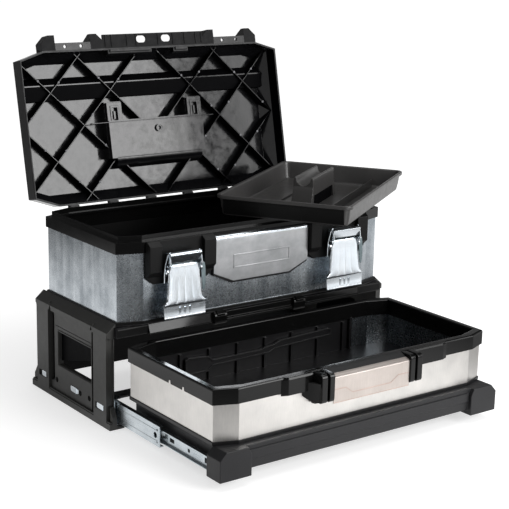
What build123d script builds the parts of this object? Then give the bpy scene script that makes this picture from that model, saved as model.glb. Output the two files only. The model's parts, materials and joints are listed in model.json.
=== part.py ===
"""Metal toolbox on a drawer base, shown in use: lid open, tray laid across the rim, drawer pulled out.

X runs across the front, +Y to the back, +Z up. The origin lies on the floor, at the middle of the
base frame's footprint. Everything is in millimetres.
"""
import os
from build123d import *

# Base frame: two side panels, a deck on top, a rear panel and a tie strap under the drawer
chassis_width = 545
chassis_depth = 254
side_wall = 12.5
side_web = 8
deck_top = 160
deck_skin = 5
deck_beam = 16
shoulder_drop, shoulder_rise = 8, 5
panel_inset = 8
rail_height = 20
foot_width = 13
foot_height = 3
pillar_width, pillar_inset = 42, 3
window_sill, window_head = 58, 113
window_front_margin, window_back_margin = 13, 28
deck_front_beam, deck_rear_beam = 14, 12
deck_rib_wall, deck_rib_rise, deck_rib_spacing = 4, 6, 120
rear_panel_wall, rear_panel_sill = 4, 18
rear_rib_rise, rear_rib_width, rear_rib_pitch, rear_rib_count = 2, 6, 90, 5
rear_rib_low, rear_rib_high = 8, 10
strap_width, strap_wall = 24, 4
slot_length, slot_height, slot_level, middle_slot_shift = 24, 10, 30, 9
peg_hole_radius, peg_hole_margin, peg_hole_shift = 4.5, 8, 16

# Drawer bay and telescopic slides
drawer_travel = 246
slide_depth = 12.7
slide_level = 25
slide_sheet = 1.2
slide_length = 226
outer_height, middle_height, inner_height = 43, 32, 20.4
ball_gap = 0.3
slide_setback = 8
slide_screw_offsets = (44, 80, 182)
slide_inner_lead = 4
outer_lip_short, middle_lip_short, inner_flange = 1.4, 1.8, 5.6
middle_web_depth = 3.6
middle_hole_radius, middle_hole_setback, middle_hole_spread = 2, 7, 9
middle_port_radius, middle_port_setback = 4.5, 12
outer_cage_depths, outer_cage_ends = (5.2, 9.6), (12, 8)
inner_cage_depths, inner_cage_ends = (7.6, 10.4), (16, 6)
inner_hole_radius, inner_hole_at = 3, 62
inner_slot_at, inner_slot_length, inner_slot_height = 100, 12, 6
inner_square_at, inner_square_length, inner_square_height = 12, 10, 8

# Upper tub
tub_width = 508
tub_depth = 240
tub_overhang = 2
tub_bevel_x, tub_bevel_y = 39, 12.4
sheet = 1
plinth_lip = 3
plinth_floor = 3
plinth_height = 6.5
plinth_play = 0.5
plinth_inner_wall = 2
rim_seat = 271.6
rim_top = 288.8
rim_lip_height = 8.2
rim_lip_inset, rim_lip_wall = 5, 3
rim_flange = 12
rim_skirt = 3
rim_groove = 4.4
rim_plate = 4
rim_inner_wall, rim_inner_drop = 2.5, 10

# Lid and its hinge
lid_gap = 0.2
lid_depth = 254
lid_wall = 3
lid_side_height = 24
lid_height = 46
lid_taper_run = 16
lid_bevel_x, lid_bevel_front, lid_bevel_rear = 44, 13.5, 16
lid_open_angle = 102
hinge_back, hinge_level = 11, 284
hinge_radius, hinge_pin_radius, hinge_play = 5.5, 2, 0.15
hinge_groups, hinge_pitch = 6, 75
knuckle_width, knuckle_gap, knuckle_arm_rise, knuckle_cover = 16, 0.4, 13, 2
hinge_pin_end = 2
lattice_pitch, lattice_height, lattice_wall = 114, 18, 1.8
lattice_falling_middle, lattice_rising_middle = -8, -268
beam_reach, beam_width, beam_height = 198.5, 22, 8
lip_reach, lip_wall = 23, 4
lip_half_width = 100
eye_half_length, eye_radius, eye_spacing, eye_reach = 10, 6, 50, 13.5
ear_reach, ear_wall, ear_height, ear_slope = 25, 12, 26, 13
ear_toe, ear_toe_run, ear_crown, ear_flank_drop = 8, 10, 4, 6
keeper_half_width = 33
keeper_reach, keeper_wall, keeper_hole_radius, keeper_hole_spacing = 12, 3, 2.8, 30

# Lid handle
recess_half_width, recess_near, recess_far, recess_depth = 92, 73, 131, 25
arm_pocket_width, arm_pocket_far, arm_pocket_depth = 26, 163, 18
arm_offset = 81
handle_pivot_reach, handle_grip_reach = 150, 96
handle_rod_radius, handle_grip_radius, handle_pin_radius = 4, 9, 3
handle_boss_radius, handle_depth = 5.5, 12
handle_arm_half = 4
handle_hang_angle = 12

# Front plate, latch brackets and latches
plate_half_width, plate_low_half_width = 92, 55
plate_low, plate_shoulder, plate_bend, plate_top = 208, 224, 272, 280
plate_sheet, apron_thickness, apron_margin = 1.5, 6.5, 3.5
plate_flare, plate_edge = 0.6, 0.5
emboss_half_width, emboss_low, emboss_high, emboss_band, emboss_rise = 55, 228, 250, 2, 0.8
bracket_inner, bracket_outer, bracket_low, bracket_wall = 93, 213, 222, 4
bracket_rib_width, bracket_rib_rise = 22, 9
bracket_chamfer_x, bracket_chamfer_z = 12, 10
bracket_rib_low, bracket_rib_slope, bracket_rib_drop = 12, 8, 6
latch_offset = 157
latch_pivot_out, latch_pivot_level = 20, 250
latch_base_width, latch_base_low, latch_base_high, latch_base_sheet = 44, 232, 268, 1.5
latch_pin_radius, latch_play, latch_ear_half = 2, 0.3, 3.4
latch_ear_reach, latch_ear_margin = 3, 4
latch_sheet = 1.5
lever_top_width, lever_low_width, lever_tab_width, lever_tab_end_width = 50, 64, 74, 68
lever_shoulder_level, lever_tab_level, lever_end_level = 192, 190, 170
lever_face_reach, lever_top_drop, lever_tab_overlap = 5, 4, 2
lever_flange_back, lever_flange_rise, lever_flange_drop, lever_flange_tail = 4, 4, 6, 6
lever_rib_count, lever_rib_half, lever_rib_rise, lever_rib_margin = 4, 2, 1, 4
hook_pivot_level, hook_width, hook_top_level = 244, 56, 272
hook_reach, hook_lean, hook_face_low, hook_arm_low = 12, 4, 12, 10
hook_heel_front, hook_heel_back, hook_heel_drop, hook_shoulder_drop = 5, 4, 5, 8
stud_reach, stud_root = 1, 0.1

# Drawer
drawer_clearance = 5.5
drawer_front_out = 260
drawer_rear_gap = 17.5
drawer_low, drawer_seat, drawer_rim_top = 57, 116, 139
drawer_bevel_x, drawer_bevel_y = 35, 13
drawer_floor = 3
drawer_rim_skirt, drawer_rim_flange, drawer_rim_plate = 3, 9, 4
drawer_groove = 3
pan_lip_wall, pan_lip_height = 1.5, 5
drawer_liner_wall, liner_margin, liner_drop = 3, 4, 1
liner_rib_count, liner_rib_rise, liner_rib_width, liner_rib_drop = 7, 4, 5, 6
base_reach, base_rear_reach = 13, 8
base_low, base_bar_low = 14, 22
base_shoulder, base_chamfer = 46, 12
base_block_width, base_block_depth, base_bar_recess = 62, 26.5, 7
base_wall, base_top_wall = 6, 4
pull_half_width, pull_bracket_width = 72, 24
pull_reach, pull_low, pull_high = 24, 84, 130
pull_plate_low, pull_plate_bend, pull_plate_high = 92, 121, 128
pull_plate_sheet, pull_plate_edge = 2, 0.6
pull_ledge_wall, pull_ledge_drop = 4, 2
pull_cheek_lead, pull_cheek_round = 3, 3

# Tray, turned on the rim
tray_length, tray_width, tray_height = 345, 225, 34
tray_draft, tray_wall, tray_rim_reach, tray_rim_height = 5, 2.5, 5, 6
tray_turn = 34.2
tray_center_x, tray_center_back = 163, 66
tray_gap = 0.3
grip_half_length, grip_width, grip_top = 78, 30, 47
grip_slope, grip_root = 12, 1
grip_gap_low, grip_gap_high, grip_gap_end, grip_gap_slope = 18, 12, 22, 6
grip_groove_radius, grip_groove_lift = 8, 3
tray_corner, tray_rim_corner = 10, 14
divider_offset, divider_half, divider_height = 58, 1, 14
floor_step_offset, floor_step_height = 47, 3

# Fasteners
screw_radius, screw_head_radius, screw_head_height, screw_reach, screw_play = 2, 4, 1.2, 6, 0.1

# How far a cutting shape runs past a face, and how far two fused shapes overlap
past = 1

# Places that follow from the sizes above
front = -chassis_depth / 2
back = chassis_depth / 2
chassis_half = chassis_width / 2
bay_half = chassis_half - side_wall
bay_top = deck_top - deck_beam
tub_half = tub_width / 2
tub_front = front - tub_overhang
tub_back = tub_front + tub_depth
rim_front = tub_front - rim_skirt
rim_back = tub_back + rim_skirt
lid_plane = rim_top + lid_gap
lid_back = rim_back
lid_front = lid_back - lid_depth
lid_half = tub_half + rim_skirt
hinge_axis = Axis((0, rim_back + hinge_back, hinge_level), (1, 0, 0))
hinge_y = rim_back + hinge_back
lid_top = lid_plane + lid_height
slide_inner_face = bay_half - slide_depth
drawer_half = bay_half - drawer_clearance
slide_front = front + slide_setback
rear_panel_front = back - 2 * panel_inset - rear_panel_wall
drawer_front = front - drawer_front_out
drawer_back = front - drawer_rear_gap
base_front = drawer_front - base_reach


def block(x0, x1, y0, y1, z0, z1):
    """A box between two corners given in any order."""
    size = (abs(x1 - x0), abs(y1 - y0), abs(z1 - z0))
    return Pos((x0 + x1) / 2, (y0 + y1) / 2, (z0 + z1) / 2) * Box(*size)


def rod(x0, x1, y, z, radius):
    """A round bar along X."""
    turned = Pos((x0 + x1) / 2, y, z) * Rot(0, 90, 0)
    return turned * Cylinder(radius, abs(x1 - x0))


def post(x, y, z0, z1, radius):
    """A round bar along Z."""
    return Pos(x, y, (z0 + z1) / 2) * Cylinder(radius, abs(z1 - z0))


def upright(points, y0, y1):
    """An outline in X and Z, pushed from y0 to y1."""
    low, high = min(y0, y1), max(y0, y1)
    face = make_face(Polyline([(x, low, z) for x, z in points], close=True))
    return extrude(face, amount=high - low, dir=(0, 1, 0))


def sideways(points, x0, x1):
    """An outline in Y and Z, pushed from x0 to x1."""
    low, high = min(x0, x1), max(x0, x1)
    face = make_face(Polyline([(low, y, z) for y, z in points], close=True))
    return extrude(face, amount=high - low, dir=(1, 0, 0))


def bevelled(half, y0, y1, bevel_x, bevel_front, bevel_rear):
    """A rectangle with its four corners cut, as a flat face."""
    points = [
        (-half + bevel_x, y0), (half - bevel_x, y0), (half, y0 + bevel_front),
        (half, y1 - bevel_rear), (half - bevel_x, y1), (-half + bevel_x, y1),
        (-half, y1 - bevel_rear), (-half, y0 + bevel_front),
    ]
    return make_face(Polyline(points, close=True))


def grown(face, amount):
    """The face with its outline moved outwards, or inwards if the amount is negative."""
    return offset(face, amount=amount, kind=Kind.INTERSECTION) if amount else face


def slab(face, z0, z1, outer=0):
    return extrude(Pos(0, 0, z0) * grown(face, outer), amount=z1 - z0)


def band(face, z0, z1, outer, inner):
    """A closed wall that follows the face's outline."""
    ring = grown(face, outer) - grown(face, inner)
    return extrude(Pos(0, 0, z0) * ring, amount=z1 - z0)


def joined(pieces):
    """All the pieces fused into one."""
    pieces = list(pieces)
    return pieces[0] + pieces[1:] if len(pieces) > 1 else pieces[0]


def mirrored(shape):
    return mirror(shape, about=Plane.YZ)


tub_face = bevelled(tub_half, tub_front, tub_back, tub_bevel_x, tub_bevel_y, tub_bevel_y)
drawer_face = bevelled(
    drawer_half, drawer_front, drawer_back, drawer_bevel_x, drawer_bevel_y, drawer_bevel_y
)
lid_face = bevelled(lid_half, lid_front, lid_back, lid_bevel_x, lid_bevel_front, lid_bevel_rear)


def side_panel():
    """The right-hand side: a web with raised pillars, a window, a foot rail and a sloping shoulder."""
    outer, inner = chassis_half, bay_half
    low_front, low_back = front, back
    high_front, high_back = front + panel_inset, back - 2 * panel_inset
    outline = [
        (low_front, 0), (low_back, 0), (low_back, rail_height),
        (high_back, rail_height + 3 * panel_inset), (high_back, bay_top),
        (high_front, bay_top), (high_front, rail_height + 2 * panel_inset), (low_front, rail_height),
    ]
    web = sideways(outline, inner, inner + side_web)
    seat = tub_half + plinth_lip + plinth_play
    shoulder_outline = [
        (inner, bay_top), (outer, bay_top), (outer, deck_top - shoulder_drop),
        (seat, deck_top + shoulder_rise), (seat, deck_top), (inner, deck_top),
    ]
    cap = upright(shoulder_outline, high_front, high_back)
    pillar_low = rail_height / 2
    pillar_front = block(inner, outer, high_front + pillar_inset, high_front + pillar_width,
                         pillar_low, bay_top)
    pillar_back = block(inner, outer, high_back - pillar_width, high_back - pillar_inset,
                        pillar_low, bay_top)
    rail = block(inner, outer, low_front, low_back, 0, rail_height / 2)
    foot = block(inner - foot_width, outer, low_front, low_back, 0, foot_height)
    panel = joined([web, cap, pillar_front, pillar_back, rail, foot])
    window_front = high_front + pillar_width + window_front_margin
    window_back = high_back - pillar_width - window_back_margin
    window = block(inner - past, outer + past, window_front, window_back, window_sill, window_head)
    slots = [
        block(inner - past, outer + past, y - slot_length / 2, y + slot_length / 2,
              slot_level - slot_height / 2, slot_level + slot_height / 2)
        for y in (high_front + pillar_inset + pillar_width / 2, (front + back) / 2 - middle_slot_shift,
                  high_back - pillar_width / 2)
    ]
    middle = (window_front + window_back) / 2
    holes = [
        rod(inner - past, outer + past, y, slot_level, peg_hole_radius)
        for y in (window_front + peg_hole_margin, middle - peg_hole_shift, window_back + peg_hole_margin)
    ]
    threads = [rod(inner, inner + screw_reach, y, slide_level, screw_radius) for y in slide_screw_places()]
    return panel - window - slots - holes - threads


def deck():
    """The top of the base: a skin stiffened by a front beam, a rear beam and ribs."""
    y0, y1 = front + panel_inset, rear_panel_front
    skin = block(-bay_half, bay_half, y0, y1, deck_top - deck_skin, deck_top)
    front_beam = block(-bay_half, bay_half, front, front + deck_front_beam, bay_top, deck_top)
    rear_beam = block(-bay_half, bay_half, y1 - deck_rear_beam, y1, bay_top, deck_top)
    half = deck_rib_wall / 2
    ribs = [block(x - half, x + half, y0, y1, bay_top + deck_rib_rise, deck_top)
            for x in (-deck_rib_spacing, 0, deck_rib_spacing)]
    return joined([skin, front_beam, rear_beam, *ribs])


def rear_panel():
    y0, y1 = rear_panel_front, rear_panel_front + rear_panel_wall
    sheet_wall = block(-bay_half, bay_half, y0, y1, rear_panel_sill, deck_top)
    half = rear_rib_width / 2
    places = [(i - (rear_rib_count - 1) / 2) * rear_rib_pitch for i in range(rear_rib_count)]
    ribs = [block(x - half, x + half, y1, y1 + rear_rib_rise, rear_panel_sill + rear_rib_low,
                  deck_top - rear_rib_high) for x in places]
    return joined([sheet_wall, *ribs])


def tie_strap():
    """The strap that ties both feet together under the drawer. Its underside carries the origin."""
    reach = bay_half - foot_width
    return block(-reach, reach, -strap_width / 2, strap_width / 2, 0, strap_wall)


def channel(web_at, lip_to, height, y0, y1, side):
    """A C section along Y, given by its web and lip distances from the bay wall, on one side."""
    top, bottom = slide_level + height / 2, slide_level - height / 2

    def at(depth):
        return side * (bay_half - depth)

    step = slide_sheet if lip_to > web_at else -slide_sheet
    web = block(at(web_at), at(web_at + step), y0, y1, bottom, top)
    lips = [block(at(web_at), at(lip_to), y0, y1, z, z + slide_sheet) for z in (bottom, top - slide_sheet)]
    return joined([web, *lips])


def slide_outer(side):
    body = channel(0, slide_depth - outer_lip_short, outer_height, slide_front, slide_front + slide_length,
                   side)
    x = side * (bay_half - slide_sheet / 2)
    holes = [rod(x - past, x + past, y, slide_level, screw_radius + screw_play)
             for y in slide_screw_places()]
    return body - holes


def slide_screw_places():
    return [slide_front + near for near in slide_screw_offsets]


def slide_middle(side):
    """The running member, half way out, with its ball cages between it and its neighbours."""
    y0 = slide_front - drawer_travel / 2
    y1 = y0 + slide_length
    body = channel(middle_web_depth, slide_depth - middle_lip_short, middle_height, y0, y1, side)
    x = side * (bay_half - middle_web_depth - slide_sheet / 2)
    end_holes = [rod(x - past, x + past, y0 + middle_hole_setback, slide_level + dz, middle_hole_radius)
                 for dz in (-middle_hole_spread, middle_hole_spread)]
    port = rod(x - past, x + past, y0 + middle_port_setback, slide_level, middle_port_radius)
    return body - end_holes - port


def ball_cage(side, y0, y1, z_low, z_high, depths):
    """A pair of ball retainers: thin strips above and below the member that runs in them."""
    near, far = depths
    x0, x1 = side * (bay_half - near), side * (bay_half - far)
    strips = [block(x0, x1, y0, y1, slide_level + sign * z_low, slide_level + sign * z_high)
              for sign in (-1, 1)]
    return strips


def slide_cages(side):
    """The cages of the running member: behind against the outer member, in front against the inner."""
    middle_front = slide_front - drawer_travel / 2
    outer_free = outer_height / 2 - slide_sheet
    start, end = outer_cage_ends
    rear = ball_cage(side, slide_front + start, middle_front + slide_length - end,
                     middle_height / 2, outer_free - ball_gap, outer_cage_depths)
    inner_end = slide_front - drawer_travel - slide_inner_lead + slide_length
    start, end = inner_cage_ends
    ahead = ball_cage(side, middle_front + start, inner_end - end,
                      inner_height / 2 + ball_gap, middle_height / 2 - slide_sheet, inner_cage_depths)
    return joined([*rear, *ahead])


def slide_inner(side):
    y0 = slide_front - drawer_travel - slide_inner_lead
    y1 = y0 + slide_length
    body = channel(slide_depth, slide_depth - inner_flange, inner_height, y0, y1, side)
    x = side * (slide_inner_face + slide_sheet / 2)

    def cut(start, length, height):
        return block(x - past, x + past, y0 + start, y0 + start + length,
                     slide_level - height / 2, slide_level + height / 2)

    hole = rod(x - past, x + past, y0 + inner_hole_at, slide_level, inner_hole_radius)
    slot = cut(inner_slot_at, inner_slot_length, inner_slot_height)
    square = cut(inner_square_at, inner_square_length, inner_square_height)
    return body - hole - slot - square


def slide_screws(side):
    """Pan heads inside the outer member, with shanks into the side panel."""
    x = side * (bay_half - slide_sheet)
    shank_end = side * (bay_half + screw_reach)
    return [rod(x - side * screw_head_height, x, y, slide_level, screw_head_radius)
            + rod(x, shank_end, y, slide_level, screw_radius) for y in slide_screw_places()]


def tub_wrapper():
    return band(tub_face, deck_top + plinth_floor, rim_seat + rim_groove, 0, -sheet)


def tub_floor():
    """The plastic plinth: a floor that closes the tub from below, with a groove for the sheet."""
    floor = slab(tub_face, deck_top, deck_top + plinth_floor, plinth_lip)
    outer = band(tub_face, deck_top + plinth_floor, deck_top + plinth_height, plinth_lip, 0)
    inner = band(tub_face, deck_top + plinth_floor, deck_top + 2 * plinth_height,
                 -sheet, -sheet - plinth_inner_wall)
    return floor + outer + inner


def tub_rim():
    """The plastic rim: a capped groove over the sheet, a raised lip and the hinge knuckles."""
    top = band(tub_face, rim_seat + rim_groove, rim_top, rim_skirt, -rim_flange)
    core = band(tub_face, rim_seat + rim_groove - past, rim_top - rim_plate,
                -sheet - rim_inner_wall, -rim_flange - past)
    top = top - core
    outer = band(tub_face, rim_seat, rim_top, rim_skirt, 0)
    inner = band(tub_face, rim_seat - rim_inner_drop, rim_top, -sheet, -sheet - rim_inner_wall)
    lip = band(tub_face, rim_top - past, rim_top + rim_lip_height,
               -rim_lip_inset, -rim_lip_inset - rim_lip_wall)
    knuckles = [rim_knuckle(x, side) for x in hinge_places() for side in (-1, 1)]
    body = joined([top, outer, inner, lip, *knuckles])
    bore = rod(-tub_half, tub_half, hinge_y, hinge_level, hinge_pin_radius + hinge_play)
    return body - bore


def hinge_places():
    first = -(hinge_groups - 1) / 2 * hinge_pitch
    return [first + i * hinge_pitch for i in range(hinge_groups)]


def rim_knuckle(x, side):
    """One of the two rim barrels that hold a lid barrel between them."""
    near = knuckle_width / 2 + knuckle_gap
    x0, x1 = x + side * near, x + side * (near + knuckle_width)
    barrel = rod(x0, x1, hinge_y, hinge_level, hinge_radius)
    arm = block(x0, x1, rim_back - past, hinge_y, hinge_level - hinge_radius, hinge_level)
    return barrel + arm


def hinge_pin():
    reach = hinge_places()[-1] + knuckle_width * 1.5 + hinge_pin_end
    return rod(-reach, reach, hinge_y, hinge_level, hinge_pin_radius)


def plate_outline(grow):
    """The front plate's outline in X and Z, for its lower edge moved out by grow."""
    w, low = plate_half_width, plate_low_half_width + grow * plate_flare
    return [(-w, plate_shoulder - grow), (-low, plate_low - grow), (low, plate_low - grow),
            (w, plate_shoulder - grow)]


def front_apron():
    """The black backing behind the plate, standing proud of the sheet."""
    face_out = rim_front - apron_thickness + rim_skirt
    low = plate_outline(apron_margin)
    on_sheet = upright(low + [(plate_half_width, rim_seat), (-plate_half_width, rim_seat)],
                       tub_front, face_out)
    on_rim = block(-plate_half_width, plate_half_width, face_out, rim_front, rim_seat - past, plate_top)
    return on_sheet + on_rim


def centre_plate():
    """The bare metal front plate: bent back at the top, with a blank pressed frame."""
    inner = rim_front - apron_thickness + rim_skirt
    outer = inner - plate_sheet
    low = plate_outline(0)
    flat = upright(low + [(plate_half_width, plate_bend), (-plate_half_width, plate_bend)], outer, inner)
    bend = sideways([(outer, plate_bend), (inner, plate_bend), (inner, plate_top),
                     (inner - plate_edge, plate_top)], -plate_half_width, plate_half_width)
    w, b = emboss_half_width, emboss_band
    frame = (
        block(-w, w, outer - emboss_rise, outer, emboss_low, emboss_high)
        - block(-w + b, w - b, outer - emboss_rise - past, outer, emboss_low + b, emboss_high - b)
    )
    return flat + bend + frame


bracket_back = rim_front
bracket_face = rim_front - bracket_wall


def latch_bracket():
    """The right-hand latch bracket: a backing plate between two ribs."""
    low, inner, outer = bracket_low, bracket_inner, bracket_outer
    run, rise = bracket_chamfer_x, bracket_chamfer_z
    outline = [
        (inner, low + rise), (inner + run, low), (outer - run, low), (outer, low + rise),
        (outer, rim_top), (inner, rim_top),
    ]
    plate = upright(outline, bracket_face, bracket_back)
    lower = [(x, min(z, rim_seat)) for x, z in outline]
    standoff = upright(lower, bracket_back, tub_front)
    rib_face = bracket_face - bracket_rib_rise
    rib_low = low + bracket_rib_low
    ribs = [
        sideways([(bracket_face, rib_low), (rib_face, rib_low + bracket_rib_slope),
                  (rib_face, rim_top - bracket_rib_drop), (bracket_face, rim_top)],
                 x, x + bracket_rib_width)
        for x in (inner, outer - bracket_rib_width)
    ]
    return joined([plate, standoff, *ribs])


latch_y = rim_front - latch_pivot_out + bracket_wall


def latch_base():
    """The right-hand metal base: a plate on the bracket with two ears that carry the lever's pin."""
    half = latch_base_width / 2
    back_face = bracket_face
    plate = block(latch_offset - half, latch_offset + half, back_face - latch_base_sheet, back_face,
                  latch_base_low, latch_base_high)
    ears = []
    tip = latch_y - latch_ear_reach
    for side in (-1, 1):
        x0 = latch_offset + side * half
        x1 = x0 - side * latch_base_sheet
        ear = sideways([(back_face, latch_base_low + latch_ear_margin),
                        (tip, latch_pivot_level - latch_ear_half),
                        (tip, latch_pivot_level + latch_ear_half),
                        (back_face, latch_base_high - latch_ear_margin)], x0, x1)
        ears.append(ear)
    pin_half = lever_top_width / 2
    pin = rod(latch_offset - pin_half, latch_offset + pin_half, latch_y, latch_pivot_level, latch_pin_radius)
    return joined([plate, *ears, pin])


def lever():
    """The right-hand lever: a ribbed pressed plate with side flanges and a flared tab."""
    top = latch_pivot_level - lever_top_drop
    back_face = latch_y - lever_face_reach
    front_face = back_face - latch_sheet

    def outline(half_top, half_low):
        return [(-half_top, top), (half_top, top), (half_low, lever_shoulder_level),
                (-half_low, lever_shoulder_level)]

    plate = upright(outline(lever_top_width / 2, lever_low_width / 2), front_face, back_face)
    tab_top, tab_low = lever_tab_level, lever_end_level
    tab_top += lever_tab_overlap
    tab = upright([(-lever_tab_width / 2, tab_top), (lever_tab_width / 2, tab_top),
                   (lever_tab_end_width / 2, tab_low), (-lever_tab_end_width / 2, tab_low)],
                  front_face, back_face)
    flanges = []
    for side in (-1, 1):
        x1 = side * lever_top_width / 2
        x0 = x1 - side * latch_sheet
        high, heel = latch_pivot_level + lever_flange_rise, latch_y + lever_flange_back
        tail = lever_shoulder_level + lever_flange_tail
        flange = sideways([(front_face, high), (heel, high), (heel, latch_pivot_level - lever_flange_drop),
                           (back_face, tail), (front_face, tail)], x0, x1)
        flanges.append(flange)
    pitch = lever_top_width / (lever_rib_count + 1)
    ribs = []
    for i in range(lever_rib_count):
        x = (i - (lever_rib_count - 1) / 2) * pitch
        ribs.append(block(x - lever_rib_half, x + lever_rib_half, front_face - lever_rib_rise, front_face,
                          lever_shoulder_level + lever_rib_margin, top - lever_rib_margin))
    body = joined([plate, tab, *flanges, *ribs])
    bore = rod(-lever_top_width, lever_top_width, latch_y, latch_pivot_level, latch_pin_radius + latch_play)
    studs = [rod(side * (lever_top_width / 2 - stud_root), side * (hook_width / 2 + stud_reach), latch_y,
                 hook_pivot_level, latch_pin_radius) for side in (-1, 1)]
    return Pos(latch_offset, 0, 0) * joined([body - bore, *studs])


def hook():
    """The right-hand hook: a bent plate over the lever's top, with two arms on the lever's studs."""
    half = hook_width / 2
    front_y = latch_y - hook_reach
    lean_y = front_y + hook_lean
    heel_y, heel_z = latch_y + hook_heel_back, hook_pivot_level - hook_heel_drop
    arms = []
    for side in (-1, 1):
        x1, x0 = side * half, side * (half - latch_sheet)
        arm = sideways([(front_y, hook_pivot_level + hook_arm_low), (latch_y - hook_heel_front, heel_z),
                        (heel_y, heel_z), (heel_y, hook_top_level - hook_shoulder_drop),
                        (latch_y, hook_top_level), (lean_y, hook_top_level)], x0, x1)
        arms.append(arm)
    top = block(-half, half, lean_y, latch_y, hook_top_level - latch_sheet, hook_top_level)
    face_low = hook_pivot_level + hook_face_low
    face = sideways([(front_y, face_low), (front_y + latch_sheet, face_low),
                     (lean_y + latch_sheet, hook_top_level), (lean_y, hook_top_level)], -half, half)
    body = joined([*arms, top, face])
    bore = rod(-hook_width, hook_width, latch_y, hook_pivot_level, latch_pin_radius + latch_play)
    return Pos(latch_offset, 0, 0) * (body - bore)


def lid_height_at(reach):
    """Where a point this far from the lid's rear edge lies in Y, with the lid shut."""
    return lid_back - reach


def lid_cavity(grow=0):
    """The hollow inside the lid, or its outer shape when grown by the wall."""
    wall_face = grown(lid_face, grow - lid_wall)
    top_face = grown(lid_face, grow - lid_wall - lid_taper_run)
    side_top = lid_plane + lid_side_height
    top = lid_top - lid_wall + grow
    straight = extrude(Pos(0, 0, lid_plane) * wall_face, amount=lid_side_height)
    taper = loft([Pos(0, 0, side_top) * wall_face, Pos(0, 0, top) * top_face], ruled=True)
    return straight + taper


def lid_recess(grow=0):
    """The pocket in the lid's top for the handle, with two shallower arms for its ends."""
    y0, y1 = lid_height_at(recess_far) - grow, lid_height_at(recess_near) + grow
    w = recess_half_width + grow
    pocket = block(-w, w, y0, y1, lid_top - recess_depth - grow, lid_top + past)
    arm_half = arm_pocket_width / 2 + grow
    arms = [
        block(side * arm_offset - arm_half, side * arm_offset + arm_half,
              lid_height_at(arm_pocket_far) - grow, y1,
              lid_top - arm_pocket_depth - grow, lid_top + past) for side in (-1, 1)
    ]
    return joined([pocket, *arms])


def lid_bars():
    """The bars of the lid's lattice before they are trimmed: two leaning families and a cross beam."""
    low, high = lid_top - lid_wall - lattice_height, lid_top
    length = 2 * lid_depth
    centre = lid_height_at(lid_depth / 2)
    families = ([], [])
    # Where each rib crosses the lid's mid depth on the left half, by the way it leans
    rising = lattice_rising_middle + lid_depth / 2
    falling = lattice_falling_middle - lid_depth / 2
    for side in (-1, 1):
        half = block(0, side * lid_half, lid_front, lid_back, low, high)
        for family, lean, middle in zip(families, (45, -45), (rising, falling)):
            for step in (-lattice_pitch, 0, lattice_pitch):
                place = Pos(-side * (middle + step), centre, (low + high) / 2) * Rot(0, 0, side * lean)
                family.append(place * Box(length, lattice_wall, high - low) & half)
    beam = block(-lid_half, lid_half, lid_height_at(beam_reach), lid_height_at(beam_reach - beam_width),
                 lid_top - lid_wall - beam_height, lid_top)
    return *families, beam


def lid_lattice():
    """The lattice under the lid's top. Bars are cut where they cross, so each piece is plain and convex."""
    room = lid_cavity() - lid_recess(lid_wall)
    rising, falling, beam = lid_bars()
    pieces = []
    crossing = []
    for bars in (rising, falling, [beam]):
        for bar in bars:
            trimmed = bar & room
            pieces += (trimmed - crossing if crossing else trimmed).solids()
        crossing += bars
    return pieces


def lid_knuckle(x):
    x0, x1 = x - knuckle_width / 2, x + knuckle_width / 2
    barrel = rod(x0, x1, hinge_y, hinge_level, hinge_radius)
    cover = hinge_y + knuckle_cover
    arm = block(x0, x1, lid_back - past, cover, lid_plane, hinge_level + knuckle_arm_rise)
    drop = block(x0, x1, lid_back + knuckle_gap, cover, hinge_level + knuckle_cover, lid_plane + past)
    return joined([barrel, arm, drop])


def lid_shell():
    """The lid's shell with its handle pocket, ears, front lip and hinge knuckles."""
    outer = lid_cavity(lid_wall)
    pocket_wall = lid_recess(lid_wall) & outer
    shell = (outer - lid_cavity()) + pocket_wall - lid_recess()
    lip_y = lid_front - lip_reach
    lip = block(-lip_half_width, lip_half_width, lip_y, lid_front + past, lid_plane, lid_plane + lip_wall)
    eye_low, eye_high = lid_plane - past, lid_plane + lip_wall + past
    straight = eye_half_length - eye_radius
    eyes = []
    for side in (-1, 1):
        x, y = side * eye_spacing / 2, lid_front - eye_reach
        eye = block(x - straight, x + straight, y - eye_radius, y + eye_radius, eye_low, eye_high)
        for end in (-1, 1):
            eye += post(x + end * straight, y, eye_low, eye_high, eye_radius)
        eyes.append(eye)
    knuckles = [lid_knuckle(x) for x in hinge_places()]
    body = joined([shell, lip - eyes, *lid_ears(), *knuckles])
    return body - rod(-lid_half, lid_half, hinge_y, hinge_level, hinge_pin_radius + hinge_play)


def lid_ears():
    """Two ears on each side that flank the latches, each with a sloping outer flank."""
    y1, y0 = lid_front + past, lid_front - ear_reach
    z0, z1 = lid_plane, lid_plane + ear_height
    ears = []
    for side in (-1, 1):
        for near in (True, False):
            out = -1 if near else 1
            x = latch_offset + out * keeper_half_width
            x0, x1 = side * x, side * (x + out * ear_wall)
            ear = sideways([(y1, z0), (y0, z0), (y0, z0 + ear_toe), (y0 + ear_toe_run, z1),
                            (y1, z1 + ear_crown)], x0, x1)
            x2 = x1 + side * out * ear_slope
            middle = y0 + ear_reach / 2
            wedge = make_face(Polyline([(x1, y0), (x2, middle), (x2, y1), (x1, y1)], close=True))
            ears += [ear, slab(wedge, z0, z1 - ear_flank_drop)]
    return ears


def lid_keeper():
    """The right-hand keeper bar that the hook catches, with two screw holes."""
    half = keeper_half_width
    bar = block(latch_offset - half, latch_offset + half, lid_front - keeper_reach, lid_front,
                lid_plane, lid_plane + keeper_wall)
    holes = [post(latch_offset + side * keeper_hole_spacing / 2, lid_front - keeper_reach / 2,
                  lid_plane - past, lid_plane + keeper_wall + past, keeper_hole_radius) for side in (-1, 1)]
    return bar - holes


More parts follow.
